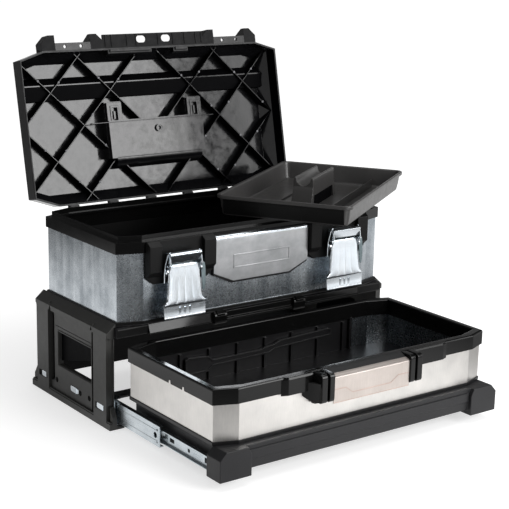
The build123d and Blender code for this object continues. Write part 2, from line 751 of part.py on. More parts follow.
def opened(shape):
    """A lid piece, turned from shut to its open stop."""
    return shape.rotate(hinge_axis, -lid_open_angle)


handle_pivot_y = lid_height_at(handle_pivot_reach)
handle_grip_y = lid_height_at(handle_grip_reach)
handle_z = lid_top - handle_depth
handle_axis = Axis((0, handle_pivot_y, handle_z), (1, 0, 0))


def handle_bail():
    """The handle's bow: two flat arms with bosses, and a core bar that carries the grip."""
    arms = []
    for side in (-1, 1):
        x0, x1 = side * (arm_offset - handle_arm_half), side * (arm_offset + handle_arm_half)
        arm = block(x0, x1, handle_pivot_y, handle_grip_y,
                    handle_z - handle_rod_radius, handle_z + handle_rod_radius)
        boss = rod(x0, x1, handle_pivot_y, handle_z, handle_boss_radius)
        knob = rod(x0, x1, handle_grip_y, handle_z, handle_boss_radius)
        arms += [arm, boss, knob]
    core = rod(-arm_offset, arm_offset, handle_grip_y, handle_z, handle_rod_radius)
    bore_reach = arm_offset + arm_pocket_width / 2
    bore = rod(-bore_reach, bore_reach, handle_pivot_y, handle_z, handle_pin_radius + hinge_play)
    return joined([*arms, core]) - bore


def handle_grip():
    reach = arm_offset - handle_arm_half
    outer = rod(-reach, reach, handle_grip_y, handle_z, handle_grip_radius)
    return outer - rod(-reach - past, reach + past, handle_grip_y, handle_z, handle_rod_radius)


def handle_pins():
    """Two pins in the pocket's side walls that the handle turns on."""
    half = arm_pocket_width / 2
    return [rod(side * (arm_offset - half), side * (arm_offset + half), handle_pivot_y, handle_z,
                handle_pin_radius) for side in (-1, 1)]


def hanging(shape):
    """A handle piece, swung out of its pocket until it hangs straight down from the open lid."""
    return opened(shape.rotate(handle_axis, handle_hang_angle))


def drawer_wrapper():
    return band(drawer_face, drawer_low + drawer_groove, drawer_rim_top - drawer_rim_plate, 0, -sheet)


def drawer_pan():
    """The drawer's plastic floor, with a groove for the sheet and a ribbed rear wall."""
    floor = slab(drawer_face, drawer_low, drawer_low + drawer_floor)
    outer = band(drawer_face, drawer_low, drawer_low + pan_lip_height, pan_lip_wall, 0)
    wall_y = drawer_back - sheet
    half = drawer_half - drawer_bevel_x - liner_margin
    z0, z1 = drawer_low + drawer_floor, drawer_seat - liner_drop
    wall = block(-half, half, wall_y - drawer_liner_wall, wall_y, z0, z1)
    pitch = 2 * half / (liner_rib_count + 1)
    rib_y = wall_y - drawer_liner_wall
    ribs = [
        block(x - liner_rib_width / 2, x + liner_rib_width / 2, rib_y - liner_rib_rise, rib_y,
              z0, z1 - liner_rib_drop)
        for x in [(i + 1) * pitch - half for i in range(liner_rib_count)]
    ]
    return joined([floor, outer, wall, *ribs])


def drawer_rim():
    """The drawer's plastic rim: a flange over the sheet with a skirt on both faces."""
    top = band(drawer_face, drawer_rim_top - drawer_rim_plate, drawer_rim_top,
               drawer_rim_skirt, -drawer_rim_flange)
    outer = band(drawer_face, drawer_seat, drawer_rim_top, drawer_rim_skirt, 0)
    inner = band(drawer_face, drawer_seat, drawer_rim_top, -sheet, -sheet - rim_inner_wall)
    return joined([top, outer, inner])


def drawer_base():
    """The plastic carriage under the drawer: a hollow frame between the slides, with a front bar."""
    half = slide_inner_face
    y1 = drawer_back - base_rear_reach
    y0 = base_front + base_block_depth
    outer = block(-half, half, y0, y1, base_low, drawer_low)
    inner = block(-half + base_wall, half - base_wall, y0 + base_wall, y1 - base_wall,
                  base_low - past, drawer_low - base_top_wall)
    frame = outer - inner
    front_y, back_y = base_front, base_front + base_block_depth
    bar = block(-chassis_half, chassis_half, front_y, back_y, base_bar_low, base_shoulder)
    bar += block(-drawer_half, drawer_half, front_y, back_y, base_bar_low, drawer_low)
    blocks = []
    for side in (-1, 1):
        x0, x1 = side * (chassis_half - base_block_width), side * chassis_half
        outline = [(x0, base_low), (x1, base_low), (x1, base_shoulder),
                   (x1 - side * base_chamfer, drawer_low), (x0 + side * base_chamfer / 2, drawer_low),
                   (x0, base_shoulder)]
        blocks.append(upright(outline, front_y - base_bar_recess, back_y))
    return joined([frame, bar, *blocks])


pull_front = drawer_front - pull_reach


def pull_bracket():
    """The right-hand cheek of the pull, with its sloping gusset."""
    x0, x1 = pull_half_width, pull_half_width + pull_bracket_width
    y1 = drawer_front - drawer_rim_skirt
    y0 = pull_front - pull_cheek_lead
    turn = pull_cheek_round
    outline = [(y1, pull_low), (y0, pull_low + turn), (y0, pull_high - turn),
               (y0 + 2 * turn, pull_high), (y1, pull_high)]
    upper = sideways(outline, x0, x1)
    backing = block(x0, x1, y1, drawer_front, pull_low, drawer_seat)
    return upper + backing


def pull_top():
    """The black ledge over the finger gap, between the cheeks."""
    y1 = drawer_front - drawer_rim_skirt
    high = pull_high - pull_ledge_drop
    return block(-pull_half_width, pull_half_width, pull_front + pull_plate_sheet, y1,
                 high - pull_ledge_wall, high)


def pull_plate():
    """The metal front of the pull, bent back at the top."""
    y0, y1 = pull_front, pull_front + pull_plate_sheet
    w = pull_half_width
    flat = block(-w, w, y0, y1, pull_plate_low, pull_plate_bend)
    bend = sideways([(y0, pull_plate_bend), (y1, pull_plate_bend), (y1, pull_plate_high),
                     (y1 - pull_plate_edge, pull_plate_high)], -w, w)
    return flat + bend


def tray():
    """The tote tray, with its rolled rim, low dividers and moulded grip, laid flat on the rim."""
    z0 = rim_top + rim_lip_height + tray_gap
    z1 = z0 + tray_height
    length, width = tray_length - 2 * tray_rim_reach, tray_width - 2 * tray_rim_reach

    def level(at_z, inset):
        low = 2 * tray_draft * (1 - (at_z - z0) / tray_height)
        size = (length - low - 2 * inset, width - low - 2 * inset)
        return Pos(0, 0, at_z) * RectangleRounded(*size, tray_corner - inset)

    outer = loft([level(z0, 0), level(z1, 0)])
    inner = loft([level(z0 + tray_wall, tray_wall), level(z1, tray_wall)])
    rim_face = RectangleRounded(tray_length, tray_width, tray_rim_corner)
    rim = extrude(Pos(0, 0, z1 - tray_rim_height) * rim_face, amount=tray_rim_height)
    box = outer + rim - inner
    w = grip_width / 2

    def trapezium(half_low, half_high, low, high, reach):
        return upright([(-half_low, low), (half_low, low), (half_high, high), (-half_high, high)],
                       -reach, reach)

    root, crown = z0 + grip_root, z0 + grip_top
    grip = trapezium(grip_half_length, grip_half_length - grip_slope, root, crown, w)
    gap_half = grip_half_length - grip_gap_end
    hollow = trapezium(gap_half, gap_half - grip_gap_slope, z0 + grip_gap_low,
                       crown - grip_gap_high, w + past)
    groove = rod(-grip_half_length, grip_half_length, 0, crown + grip_groove_lift, grip_groove_radius)
    inside = length / 2 - tray_draft - past
    divider = block(-inside, inside, -divider_offset - divider_half, -divider_offset + divider_half,
                    root, z0 + divider_height)
    step = block(-inside, inside, floor_step_offset, width / 2 - tray_draft - past, root,
                 z0 + tray_wall + floor_step_height)
    body = joined([box, grip - hollow - groove, divider, step])
    return Pos(tray_center_x, front + tray_center_back, 0) * Rot(0, 0, tray_turn) * body


def pair(name, shape):
    """A right-hand piece and its mirror image."""
    return {f"{name}_right": shape, f"{name}_left": mirrored(shape)}


nodes = {
    "chassis_deck": deck(),
    "chassis_rear_panel": rear_panel(),
    "chassis_tie_strap": tie_strap(),
    "tub_wrapper": tub_wrapper(),
    "tub_floor": tub_floor(),
    "tub_rim": tub_rim(),
    "hinge_pin": hinge_pin(),
    "front_apron": front_apron(),
    "centre_plate": centre_plate(),
    "lid_shell": opened(lid_shell()),
    "handle_bail": hanging(handle_bail()),
    "handle_grip": hanging(handle_grip()),
    "drawer_wrapper": drawer_wrapper(),
    "drawer_pan": drawer_pan(),
    "drawer_rim": drawer_rim(),
    "drawer_base": drawer_base(),
    "pull_top": pull_top(),
    "pull_plate": pull_plate(),
    "tray": tray(),
}
nodes |= pair("chassis_side", side_panel())
nodes |= pair("latch_bracket", latch_bracket())
nodes |= pair("latch_base", latch_base())
nodes |= pair("latch_lever", lever())
nodes |= pair("latch_hook", hook())
nodes |= pair("pull_bracket", pull_bracket())
for side, name in ((1, "right"), (-1, "left")):
    nodes[f"slide_outer_{name}"] = slide_outer(side)
    nodes[f"slide_middle_{name}"] = slide_middle(side)
    nodes[f"slide_cages_{name}"] = slide_cages(side)
    nodes[f"slide_inner_{name}"] = slide_inner(side)
    nodes[f"slide_screws_{name}"] = Compound(children=slide_screws(side))
keeper = lid_keeper()
nodes["lid_keeper_right"] = opened(keeper)
nodes["lid_keeper_left"] = opened(mirrored(keeper))
nodes["lid_lattice"] = Compound(children=[opened(piece) for piece in lid_lattice()])
nodes["handle_pins"] = Compound(children=[opened(pin) for pin in handle_pins()])

os.makedirs("parts", exist_ok=True)
for name, shape in nodes.items():
    export_step(shape, f"parts/{name}.step")
    box = shape.bounding_box()
    print(name, len(shape.solids()), round(shape.volume), box.min, box.max)
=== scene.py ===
import bpy
import bmesh
import json
from math import copysign, cos, pi, radians, sin, sqrt
from mathutils import Matrix, Vector


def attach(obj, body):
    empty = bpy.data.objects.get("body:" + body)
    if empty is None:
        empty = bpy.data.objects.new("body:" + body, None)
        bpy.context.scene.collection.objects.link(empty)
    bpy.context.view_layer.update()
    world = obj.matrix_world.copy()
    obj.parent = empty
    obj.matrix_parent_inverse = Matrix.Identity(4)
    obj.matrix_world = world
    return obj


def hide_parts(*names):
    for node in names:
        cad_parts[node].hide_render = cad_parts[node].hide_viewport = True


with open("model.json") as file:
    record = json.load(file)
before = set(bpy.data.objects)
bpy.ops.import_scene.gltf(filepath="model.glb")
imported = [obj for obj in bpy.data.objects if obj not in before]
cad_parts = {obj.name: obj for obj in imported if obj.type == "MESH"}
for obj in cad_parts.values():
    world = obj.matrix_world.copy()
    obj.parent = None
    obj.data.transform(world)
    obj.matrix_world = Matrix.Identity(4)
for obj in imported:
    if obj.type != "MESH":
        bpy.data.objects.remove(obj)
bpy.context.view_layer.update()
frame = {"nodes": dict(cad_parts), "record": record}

MM = 0.001
nodes = frame["nodes"]
BODY_OF = {n: body for body, members in frame["record"]["behaviour"]["bodies"].items() for n in members}
SLOT_OF = {s["node"]: s["material_slot"] for s in frame["record"]["subparts"]}
SIDES = {"left": -1, "right": 1}
WAYS = (-1, 1)

# The open lid's own ways: up from hinge side to front edge, back from rim to outside, and the other way
LID_UP = (0, 0.2079, 0.9781)
LID_BACK = (0, 0.9781, -0.2079)
LID_FRONT = (0, -0.9781, 0.2079)


# Materials
def linear(hex_code):
    """An sRGB hex colour as linear RGBA."""
    values = [int(hex_code[i:i + 2], 16) / 255 for i in (1, 3, 5)]
    return [v / 12.92 if v <= 0.04045 else ((v + 0.055) / 1.055) ** 2.4 for v in values] + [1.0]


def add(tree, kind, inputs=None, ends=(), **settings):
    """Adds a node, one for shading unless its kind says more. Each input takes a value, an output to
    link from, or a node, for its first output; ends are the two colours of a ramp."""
    made = tree.nodes.new(kind if "Node" in kind else f"ShaderNode{kind}")
    for key, value in settings.items():
        setattr(made, key, value)
    for key, value in (inputs or {}).items():
        if isinstance(value, bpy.types.Node):
            value = value.outputs[0]
        if isinstance(value, bpy.types.NodeSocket):
            tree.links.new(value, made.inputs[key])
        else:
            made.inputs[key].default_value = value
    if ends:
        for element, hex_code in zip(made.color_ramp.elements, ends):
            element.color = linear(hex_code)
    return made


def new_material(name):
    """An empty node tree, with Object coordinates in metres ready to read."""
    material = bpy.data.materials.new(name)
    material.use_nodes = True
    tree = material.node_tree
    tree.nodes.clear()
    return material, tree, add(tree, "TexCoord").outputs["Object"]


def moulded_plastic(name, dark, light, roughness, grain_mm, grain_depth_mm, wave_mm=0.0, shine=0.5,
                    spread=0.05, matt=()):
    """Injection-moulded polypropylene: a soft grain, faint flow clouds, and scuffs in its gloss.
    The real grain of about 0.1 mm is drawn coarser, so that it shows, and where it is deep it
    swallows light, which a lower shine stands for. Beyond each plane in matt the mould was left matt."""
    cloud_mm, scuff_mm, ripple_mm = 45, 11, 38
    matt_fade_mm, matt_rise = 0.5, 0.35
    material, tree, place = new_material(name)
    cloud, grain, scuff, ripple = (
        add(tree, "TexNoise", {
            "Vector": place, "Scale": 1 / (size_mm * MM), "Detail": detail, "Roughness": rough})
        for size_mm, detail, rough in (
            (cloud_mm, 4, 0.5), (grain_mm, 2, 0.5), (scuff_mm, 7, 0.7), (ripple_mm, 1, 0.5)))
    base = add(tree, "ValToRGB", {"Fac": cloud}, ends=(dark, light))
    rough = add(tree, "MapRange", {
        "Value": scuff, "From Min": 0.3, "From Max": 0.7, "To Min": roughness - spread,
        "To Max": roughness + spread})
    for way, start_mm in matt:
        depth = add(tree, "VectorMath", {0: place, 1: way}, operation="DOT_PRODUCT")
        rise = add(tree, "MapRange", {
            "Value": depth.outputs["Value"], "From Min": start_mm * MM,
            "From Max": (start_mm + matt_fade_mm) * MM, "To Max": matt_rise})
        rough = add(tree, "Math", {0: rough, 1: rise}, operation="ADD")
    sink = add(tree, "Bump", {"Height": ripple, "Distance": wave_mm * MM, "Strength": 1.0})
    relief = add(tree, "Bump", {
        "Height": grain, "Distance": grain_depth_mm * MM, "Strength": 0.5, "Normal": sink})
    shader = add(tree, "BsdfPrincipled", {
        "Base Color": base, "Roughness": rough, "IOR": 1.49, "Specular IOR Level": shine, "Normal": relief})
    add(tree, "OutputMaterial", {"Surface": shader})
    return material


def galvanised_sheet(name, dark, light, roughness, spangle_mm, stretch, relief_mm):
    """Hot-dip galvanised steel: zinc crystals a few millimetres across, each a little lighter or duller
    than the next, over cloudy patches and upright streaks where the bath ran off."""
    warp_mm, warp_reach_mm, haze_mm, streak_mm = 4, 3, 42, 16
    material, tree, place = new_material(name)
    upright = add(tree, "Mapping", {"Vector": place, "Scale": stretch})
    warp, haze, streaks = (
        add(tree, "TexNoise", {
            "Vector": where, "Scale": 1 / (size_mm * MM), "Detail": detail, "Roughness": rough})
        for where, size_mm, detail, rough in (
            (place, warp_mm, 3, 0.5), (place, haze_mm, 5, 0.6), (upright, streak_mm, 3, 0.5)))
    bent = add(tree, "VectorMath", {
        0: warp.outputs["Color"], 1: [warp_reach_mm * MM] * 3, 2: place}, operation="MULTIPLY_ADD")
    crystals = add(tree, "TexVoronoi", {"Vector": bent, "Scale": 1 / (spangle_mm * MM)})
    tone, dull, height = add(tree, "SeparateColor", {"Color": crystals.outputs["Color"]}).outputs
    run = add(tree, "Math", {0: haze, 1: streaks}, operation="ADD")
    both = add(tree, "Math", {0: tone, 1: 0.08, 2: run}, operation="MULTIPLY_ADD")
    scaled = add(tree, "MapRange", {"Value": both, "From Min": 0.8, "From Max": 1.3})
    base = add(tree, "ValToRGB", {"Fac": scaled}, ends=(dark, light))
    gloss = add(tree, "MapRange", {"Value": dull, "To Min": roughness - 0.02, "To Max": roughness + 0.03})
    relief = add(tree, "Bump", {"Height": height, "Distance": relief_mm * MM, "Strength": 0.35})
    shader = add(tree, "BsdfPrincipled", {
        "Base Color": base, "Metallic": 1, "Roughness": gloss, "Normal": relief})
    add(tree, "OutputMaterial", {"Surface": shader})
    return material


def drawn_zinc(name, dark, light, roughness, stretch):
    """Zinc plate over rolled steel: hairlines along the way it was drawn, which blur what it reflects
    across them, and a faint bloom. The real hairlines of about 0.1 mm are drawn coarser, so that they
    show."""
    hair_mm, bloom_mm, relief_mm, spread = 0.9, 30, 0.02, 0.06
    material, tree, place = new_material(name)
    along = add(tree, "Mapping", {"Vector": place, "Scale": stretch})
    hair = add(tree, "TexNoise", {
        "Vector": along, "Scale": 1 / (hair_mm * MM), "Detail": 5, "Roughness": 0.65})
    bloom = add(tree, "TexNoise", {"Vector": place, "Scale": 1 / (bloom_mm * MM), "Detail": 4})
    both = add(tree, "Math", {0: hair, 1: bloom}, operation="ADD")
    scaled = add(tree, "MapRange", {"Value": both, "From Min": 0.6, "From Max": 1.35})
    base = add(tree, "ValToRGB", {"Fac": scaled}, ends=(dark, light))
    gloss = add(tree, "MapRange", {
        "Value": hair, "From Min": 0.3, "From Max": 0.7, "To Min": roughness - spread,
        "To Max": roughness + spread})
    relief = add(tree, "Bump", {"Height": hair, "Distance": relief_mm * MM, "Strength": 0.3})
    shader = add(tree, "BsdfPrincipled", {
        "Base Color": base, "Metallic": 1, "Roughness": gloss, "Normal": relief})
    add(tree, "OutputMaterial", {"Surface": shader})
    return material


# Grained mouldings; the side panels are drawn charcoal, lighter than the other blacks, as painted sheen for
# the white backdrop they reflect
BASE_BLACK = moulded_plastic("black_polypropylene_grained", "#0a0a0a", "#101010", 0.42, 1.1, 0.1, shine=0.18)
DECK_BLACK = moulded_plastic(
    "black_polypropylene_fine_grained", "#0d0d0e", "#151416", 0.34, 1.1, 0.08, shine=0.4)
FOOT_BLACK = moulded_plastic(
    "charcoal_polypropylene_fine_grained", "#1b1b1d", "#252527", 0.45, 1.1, 0.1, shine=0.36)
PANEL_SHEEN_CHARCOAL = moulded_plastic("charcoal_polypropylene_painted_sheen", "#2f2f2e", "#3b3b39", 0.46, 1.1, 0.12)
# The lid's hollow is glossy and mirrors the room; its ribs, and other pieces deep in the dark, are drawn
# near-black and almost unreflecting, as painted shade
LID_BLACK = moulded_plastic(
    "black_polypropylene_satin", "#0b0b0c", "#101012", 0.15, 2.5, 0.02, 0.3, spread=0.08,
    matt=[((0, 0, 1), 542), (LID_BACK, 112.6), (LID_FRONT, -69.6), ((-1, 0, 0), 255.2), ((1, 0, 0), 255.2)])
RIB_SHADE_BLACK = moulded_plastic(
    "black_polypropylene_painted_shade", "#050506", "#08080a", 0.5, 2.0, 0.05, shine=0.03)
# Light grey for the rib pads, painted highlights
PAD_HIGHLIGHT_GREY = moulded_plastic("polypropylene_painted_highlight_pads", "#77777a", "#9c9ca0", 0.3, 2.0, 0.02)
RIM_BLACK = moulded_plastic(
    "black_polypropylene_polished", "#090909", "#0e0e0e", 0.14, 1.5, 0.02, 0.1, shine=0.28, spread=0.03)
TRAY_GREY = moulded_plastic("dark_grey_polypropylene", "#323131", "#3d3c3b", 0.33, 0.9, 0.05, shine=0.6)
# Matt and soft, so it shows no highlight
GRIP_RUBBER = moulded_plastic("soft_grip_elastomer", "#0f0f0f", "#161616", 0.66, 0.8, 0.2)
GALVANISED = galvanised_sheet(
    "galvanised_sheet_spangled", "#949ba1", "#ced4d9", 0.27, 2.4, (1, 1, 0.06), 0.009)
PLATE_STEEL = galvanised_sheet("pressed_zinc_plate", "#a9abad", "#c2c3c5", 0.36, 1.4, (0.7, 1, 1), 0.02)
DRAWER_SHEET = drawn_zinc("galvanised_sheet_skin_passed", "#cac8c5", "#e2dfdb", 0.34, (1, 1, 0.05))
PULL_SHEET = drawn_zinc("galvanised_sheet_handled", "#bbb2ac", "#d0c7c1", 0.4, (1, 1, 0.05))
SLIDE_ZINC = drawn_zinc("zinc_plated_roll_formed_steel", "#aeb8bf", "#dde4e8", 0.28, (1, 0.04, 1))
LATCH_ZINC = drawn_zinc("bright_zinc_plated_pressing", "#e4edf5", "#f6fbff", 0.2, (1, 1, 0.06))
DARK_ZINC = drawn_zinc("zinc_plated_bracket", "#6e7c80", "#97a5a9", 0.32, (1, 1, 0.2))
LINE_SHADE_ZINC = drawn_zinc("pressed_line_painted_shade", "#b39f97", "#cdbab2", 0.4, (1, 1, 0.2))


# Outlines and shapes, in millimetres, in the frame's axes unless a piece has its own
def rect(a, b):
    """The outline of a rectangle between two values each way."""
    return [(a[0], b[0]), (a[1], b[0]), (a[1], b[1]), (a[0], b[1])]


def oval(half_a, half_b, centre, steps=20, power=1.0):
    """An ellipse, or with a power below 1 a rounded box, as an outline."""
    points = []
    for i in range(steps):
        c, s = cos(2 * pi * i / steps), sin(2 * pi * i / steps)
        points.append((centre[0] + copysign(half_a * abs(c) ** power, c),
                       centre[1] + copysign(half_b * abs(s) ** power, s)))
    return points


def chamfered(half, front, back, bevel_x, bevel_y):
    """The plan of the drawer and the tub: a rectangle with its four corners cut off."""
    return [(-half + bevel_x, front), (half - bevel_x, front), (half, front + bevel_y),
            (half, back - bevel_y), (half - bevel_x, back), (-half + bevel_x, back),
            (-half, back - bevel_y), (-half, front + bevel_y)]


def lifted(outline, axis, level):
    """An outline's points at one level along x, y or z."""
    lane = "xyz".index(axis)
    return [(*point[:lane], level, *point[lane:]) for point in outline]


def skin(bm, rings, capped=True):
    """Joins rings of points, each to the next, and caps the two ends."""
    rows = [[bm.verts.new(point) for point in ring] for ring in rings]
    for a, b in zip(rows, rows[1:]):
        for i in range(len(a)):
            j = (i + 1) % len(a)
            bm.faces.new((a[i], a[j], b[j], b[i]))
    if capped:
        bm.faces.new(rows[0])
        bm.faces.new(rows[-1])


def prism(bm, outline, axis, low, high):
    """A prism along x, y or z."""
    skin(bm, [lifted(outline, axis, low), lifted(outline, axis, high)])


def frame_of(bm, outer, inner, axis, low, high):
    """A flat ring between two outlines with the same number of points."""
    corners = (outer, low), (outer, high), (inner, high), (inner, low), (outer, low)
    skin(bm, [lifted(outline, axis, level) for outline, level in corners], capped=False)
    bmesh.ops.remove_doubles(bm, verts=bm.verts, dist=1e-4)


# From a shape to a piece
def linked(data, name="draft"):
    thing = bpy.data.objects.new(name, data)
    bpy.context.scene.collection.objects.link(thing)
    return thing


def as_mesh(bm, name):
    mesh = bpy.data.meshes.new(name)
    bm.to_mesh(mesh)
    bm.free()
    return mesh


def evaluated(piece):
    """The piece's mesh with its modifiers applied; the piece itself goes."""
    bpy.context.view_layer.update()
    done = piece.evaluated_get(bpy.context.evaluated_depsgraph_get())
    mesh = bpy.data.meshes.new_from_object(done)
    bpy.data.objects.remove(piece)
    return mesh


def edges_rounded(mesh, width_mm, segments=2, angle=15):
    """Rounds the sharp edges, with the flat faces kept flat."""
    for face in mesh.polygons:
        face.use_smooth = True
    if not width_mm:
        mesh.set_sharp_from_angle(angle=radians(angle))
        return mesh
    piece = linked(mesh)
    edge = piece.modifiers.new("edges", "BEVEL")
    edge.width = width_mm * MM
    edge.segments = segments
    edge.limit_method = "ANGLE"
    edge.angle_limit = radians(angle)
    flat = piece.modifiers.new("flat_faces", "WEIGHTED_NORMAL")
    flat.mode, flat.weight, flat.keep_sharp = "FACE_AREA", 100, True
    return evaluated(piece)


def publish(mesh, name, body, material, slot="black_plastic", node=None):
    """Puts a finished mesh into the scene as a piece that rides on a body. One that stands for a node hides
    the node's part. The slot is not used."""
    piece = linked(mesh, name)
    mesh.materials.clear()
    mesh.materials.append(material)
    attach(piece, body)
    if node:
        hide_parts(node)


def finish(bm, name, body, material, width_mm, place=None, angle=15, segments=2, **told):
    """Ends a piece that was drawn in millimetres: place moves each point to where it belongs."""
    for vert in bm.verts:
        spot = place(*vert.co) if place else vert.co
        vert.co = Vector(spot) * MM
    bmesh.ops.recalc_face_normals(bm, faces=bm.faces)
    publish(edges_rounded(as_mesh(bm, name), width_mm, segments, angle), name, body, material, **told)


def extruded(name, body, material, width_mm, parts, **told):
    """A piece of straight prisms, each given as its outline, its axis and its two ends."""
    bm = bmesh.new()
    for part in parts:
        prism(bm, *part)
    finish(bm, name, body, material, width_mm, **told)


def welded(node):
    """A node's solid, with its loose triangles joined."""
    bm = bmesh.new()
    bm.from_mesh(nodes[node].data)
    bmesh.ops.remove_doubles(bm, verts=bm.verts, dist=0.01 * MM)
    return bm


def flattened(bm):
    """Makes each flat area one face again."""
    bmesh.ops.dissolve_limit(bm, angle_limit=radians(0.6), verts=bm.verts, edges=bm.edges)


def moved(bm, shape):
    """Moves each point by a rule in millimetres."""
    for vert in bm.verts:
        vert.co = Vector(shape(*(vert.co / MM))) * MM


def softened(node, material, width_mm, shape=None, cutter=None):
    """A moulding or pressing taken from its solid, with its edges rounded. A shape moves its points, and
    a cutter, drawn in millimetres, cuts channels into it."""
    bm = welded(node)
    flattened(bm)
    if shape:
        moved(bm, shape)
    mesh = as_mesh(bm, node)
    if cutter:
        for vert in cutter.verts:
            vert.co *= MM
        bmesh.ops.recalc_face_normals(cutter, faces=cutter.faces)
        piece, tool = linked(mesh), linked(as_mesh(cutter, "cutter"))
        cut = piece.modifiers.new("channels", "BOOLEAN")
        cut.object, cut.solver = tool, "EXACT"
        mesh = evaluated(piece)
        bpy.data.objects.remove(tool)
    publish(edges_rounded(mesh, width_mm), f"{node}_piece", BODY_OF[node], material, node=node)


def wire(name, body, material, radius_mm, points, slot):
    """A bent round wire through these points."""
    line = bpy.data.curves.new(name, "CURVE")
    line.dimensions = "3D"
    line.bevel_depth = radius_mm * MM
    line.bevel_resolution = 3
    line.use_fill_caps = True
    path = line.splines.new("NURBS")
    path.points.add(len(points) - 1)
    for knot, point in zip(path.points, points):
        knot.co = (*(Vector(point) * MM), 1)
    path.order_u = 3
    path.use_endpoint_u = True
    path.resolution_u = 6
    mesh = evaluated(linked(line))
    for face in mesh.polygons:
        face.use_smooth = True
    publish(mesh, name, body, material, slot)


def repeater(name, kind, sizes):
    """A node tree that puts one shape at every point, all turned alike. Each size is an input of the
    tree, given with its type and the input of the shape that it sets."""
    tree = bpy.data.node_groups.new(name, "GeometryNodeTree")
    shared = [("Places", "Geometry"), ("Turn", "Rotation"), ("Finish", "Material")]
    for label, sort in shared + [size[:2] for size in sizes]:
        tree.interface.new_socket(label, in_out="INPUT", socket_type=f"NodeSocket{sort}")
    tree.interface.new_socket("Pieces", in_out="OUTPUT", socket_type="NodeSocketGeometry")
    given = add(tree, "NodeGroupInput").outputs
    shape = add(tree, kind, {own: given[label] for label, sort, own in sizes})
    spread = add(tree, "GeometryNodeInstanceOnPoints", {
        "Points": given["Places"], "Instance": shape, "Rotation": given["Turn"]})
    real = add(tree, "GeometryNodeRealizeInstances", {"Geometry": spread})
    dressed = add(tree, "GeometryNodeSetMaterial", {"Geometry": real, "Material": given["Finish"]})
    add(tree, "NodeGroupOutput", {"Pieces": dressed})
    return tree


STUD_TREE = repeater("studs_at_places", "GeometryNodeMeshCone", [
    ("Foot Radius", "Float", "Radius Bottom"), ("Head Radius", "Float", "Radius Top"),
    ("Height", "Float", "Depth"), ("Sides", "Int", "Vertices")])
RIB_TREE = repeater("ribs_at_places", "GeometryNodeMeshCube", [("Rib Size", "Vector", "Size")])


def repeat(tree, name, body, material, places, values, width_mm, **told):
    """Runs one of the trees over these places, in millimetres, and keeps the result as a plain mesh."""
    points = bpy.data.meshes.new(name)
    points.from_pydata([Vector(p) * MM for p in places], [], [])
    piece = linked(points)
    run = piece.modifiers.new("repeat", "NODES")
    run.node_group = tree
    named = {item.name: item.identifier for item in tree.interface.items_tree if item.in_out == "INPUT"}
    for key, value in {**values, "Finish": material}.items():
        run[named[key]] = value
    publish(edges_rounded(evaluated(piece), width_mm), name, body, material, **told)


# Carried-over mouldings and pressings, with the widths of their rounded edges; * is left, then right
DRESS = {
    BASE_BLACK: {"tub_floor": 0.6, "latch_bracket_*": 1.0, "chassis_rear_panel": 0.6},
    DECK_BLACK: {"chassis_deck": 0.6, "chassis_tie_strap": 0.5, "front_apron": 0.6, "lid_keeper_*": 0.4},
    LID_BLACK: {"lid_shell": 0.6, "handle_bail": 0.8},
    RIM_BLACK: {"tub_rim": 0.7},
    GRIP_RUBBER: {"handle_grip": 0.8},
    GALVANISED: {"tub_wrapper": 0.3},
    DRAWER_SHEET: {"drawer_wrapper": 0.3},
    PLATE_STEEL: {"centre_plate": 0.3},
    SLIDE_ZINC: {"slide_outer_*": 0.2, "slide_inner_*": 0.2, "slide_cages_*": 0.2, "slide_screws_*": 0.2,
                 "hinge_pin": 0.3, "handle_pins": 0.3},
    DARK_ZINC: {"latch_base_*": 0.3},
}
for material, members in DRESS.items():
    for name, width in members.items():
        for node in dict.fromkeys(name.replace("*", side) for side in SIDES):
            softened(node, material, width)


# Latches: a fluted lever, and a hook plate with a wire bail over its top
LATCH_X = 157
PIVOT_Y, PIVOT_Z = -148, 250
LEVER_FACE = -152
LEVER_DROP = 58
STEP_Z = PIVOT_Z - LEVER_DROP
TAB_HALF = 38


def at_latch(side):
    """From about the latch's middle to its place on the front."""
    return lambda x, y, z: (x + SIDES[side] * LATCH_X, y, z)


def lever_half(z):
    """Half the lever's width at a level: it flares slowly, then quickly into its two lower corners."""
    if z <= STEP_Z:
        return TAB_HALF - (STEP_Z - z) * 0.1
    top_half, flare, corner, corner_from = 27, 5, 6.5, 0.86
    drop = max(0.0, PIVOT_Z - z) / LEVER_DROP
    return top_half + flare * drop ** 1.5 + corner * max(0.0, drop - corner_from) / (1 - corner_from)


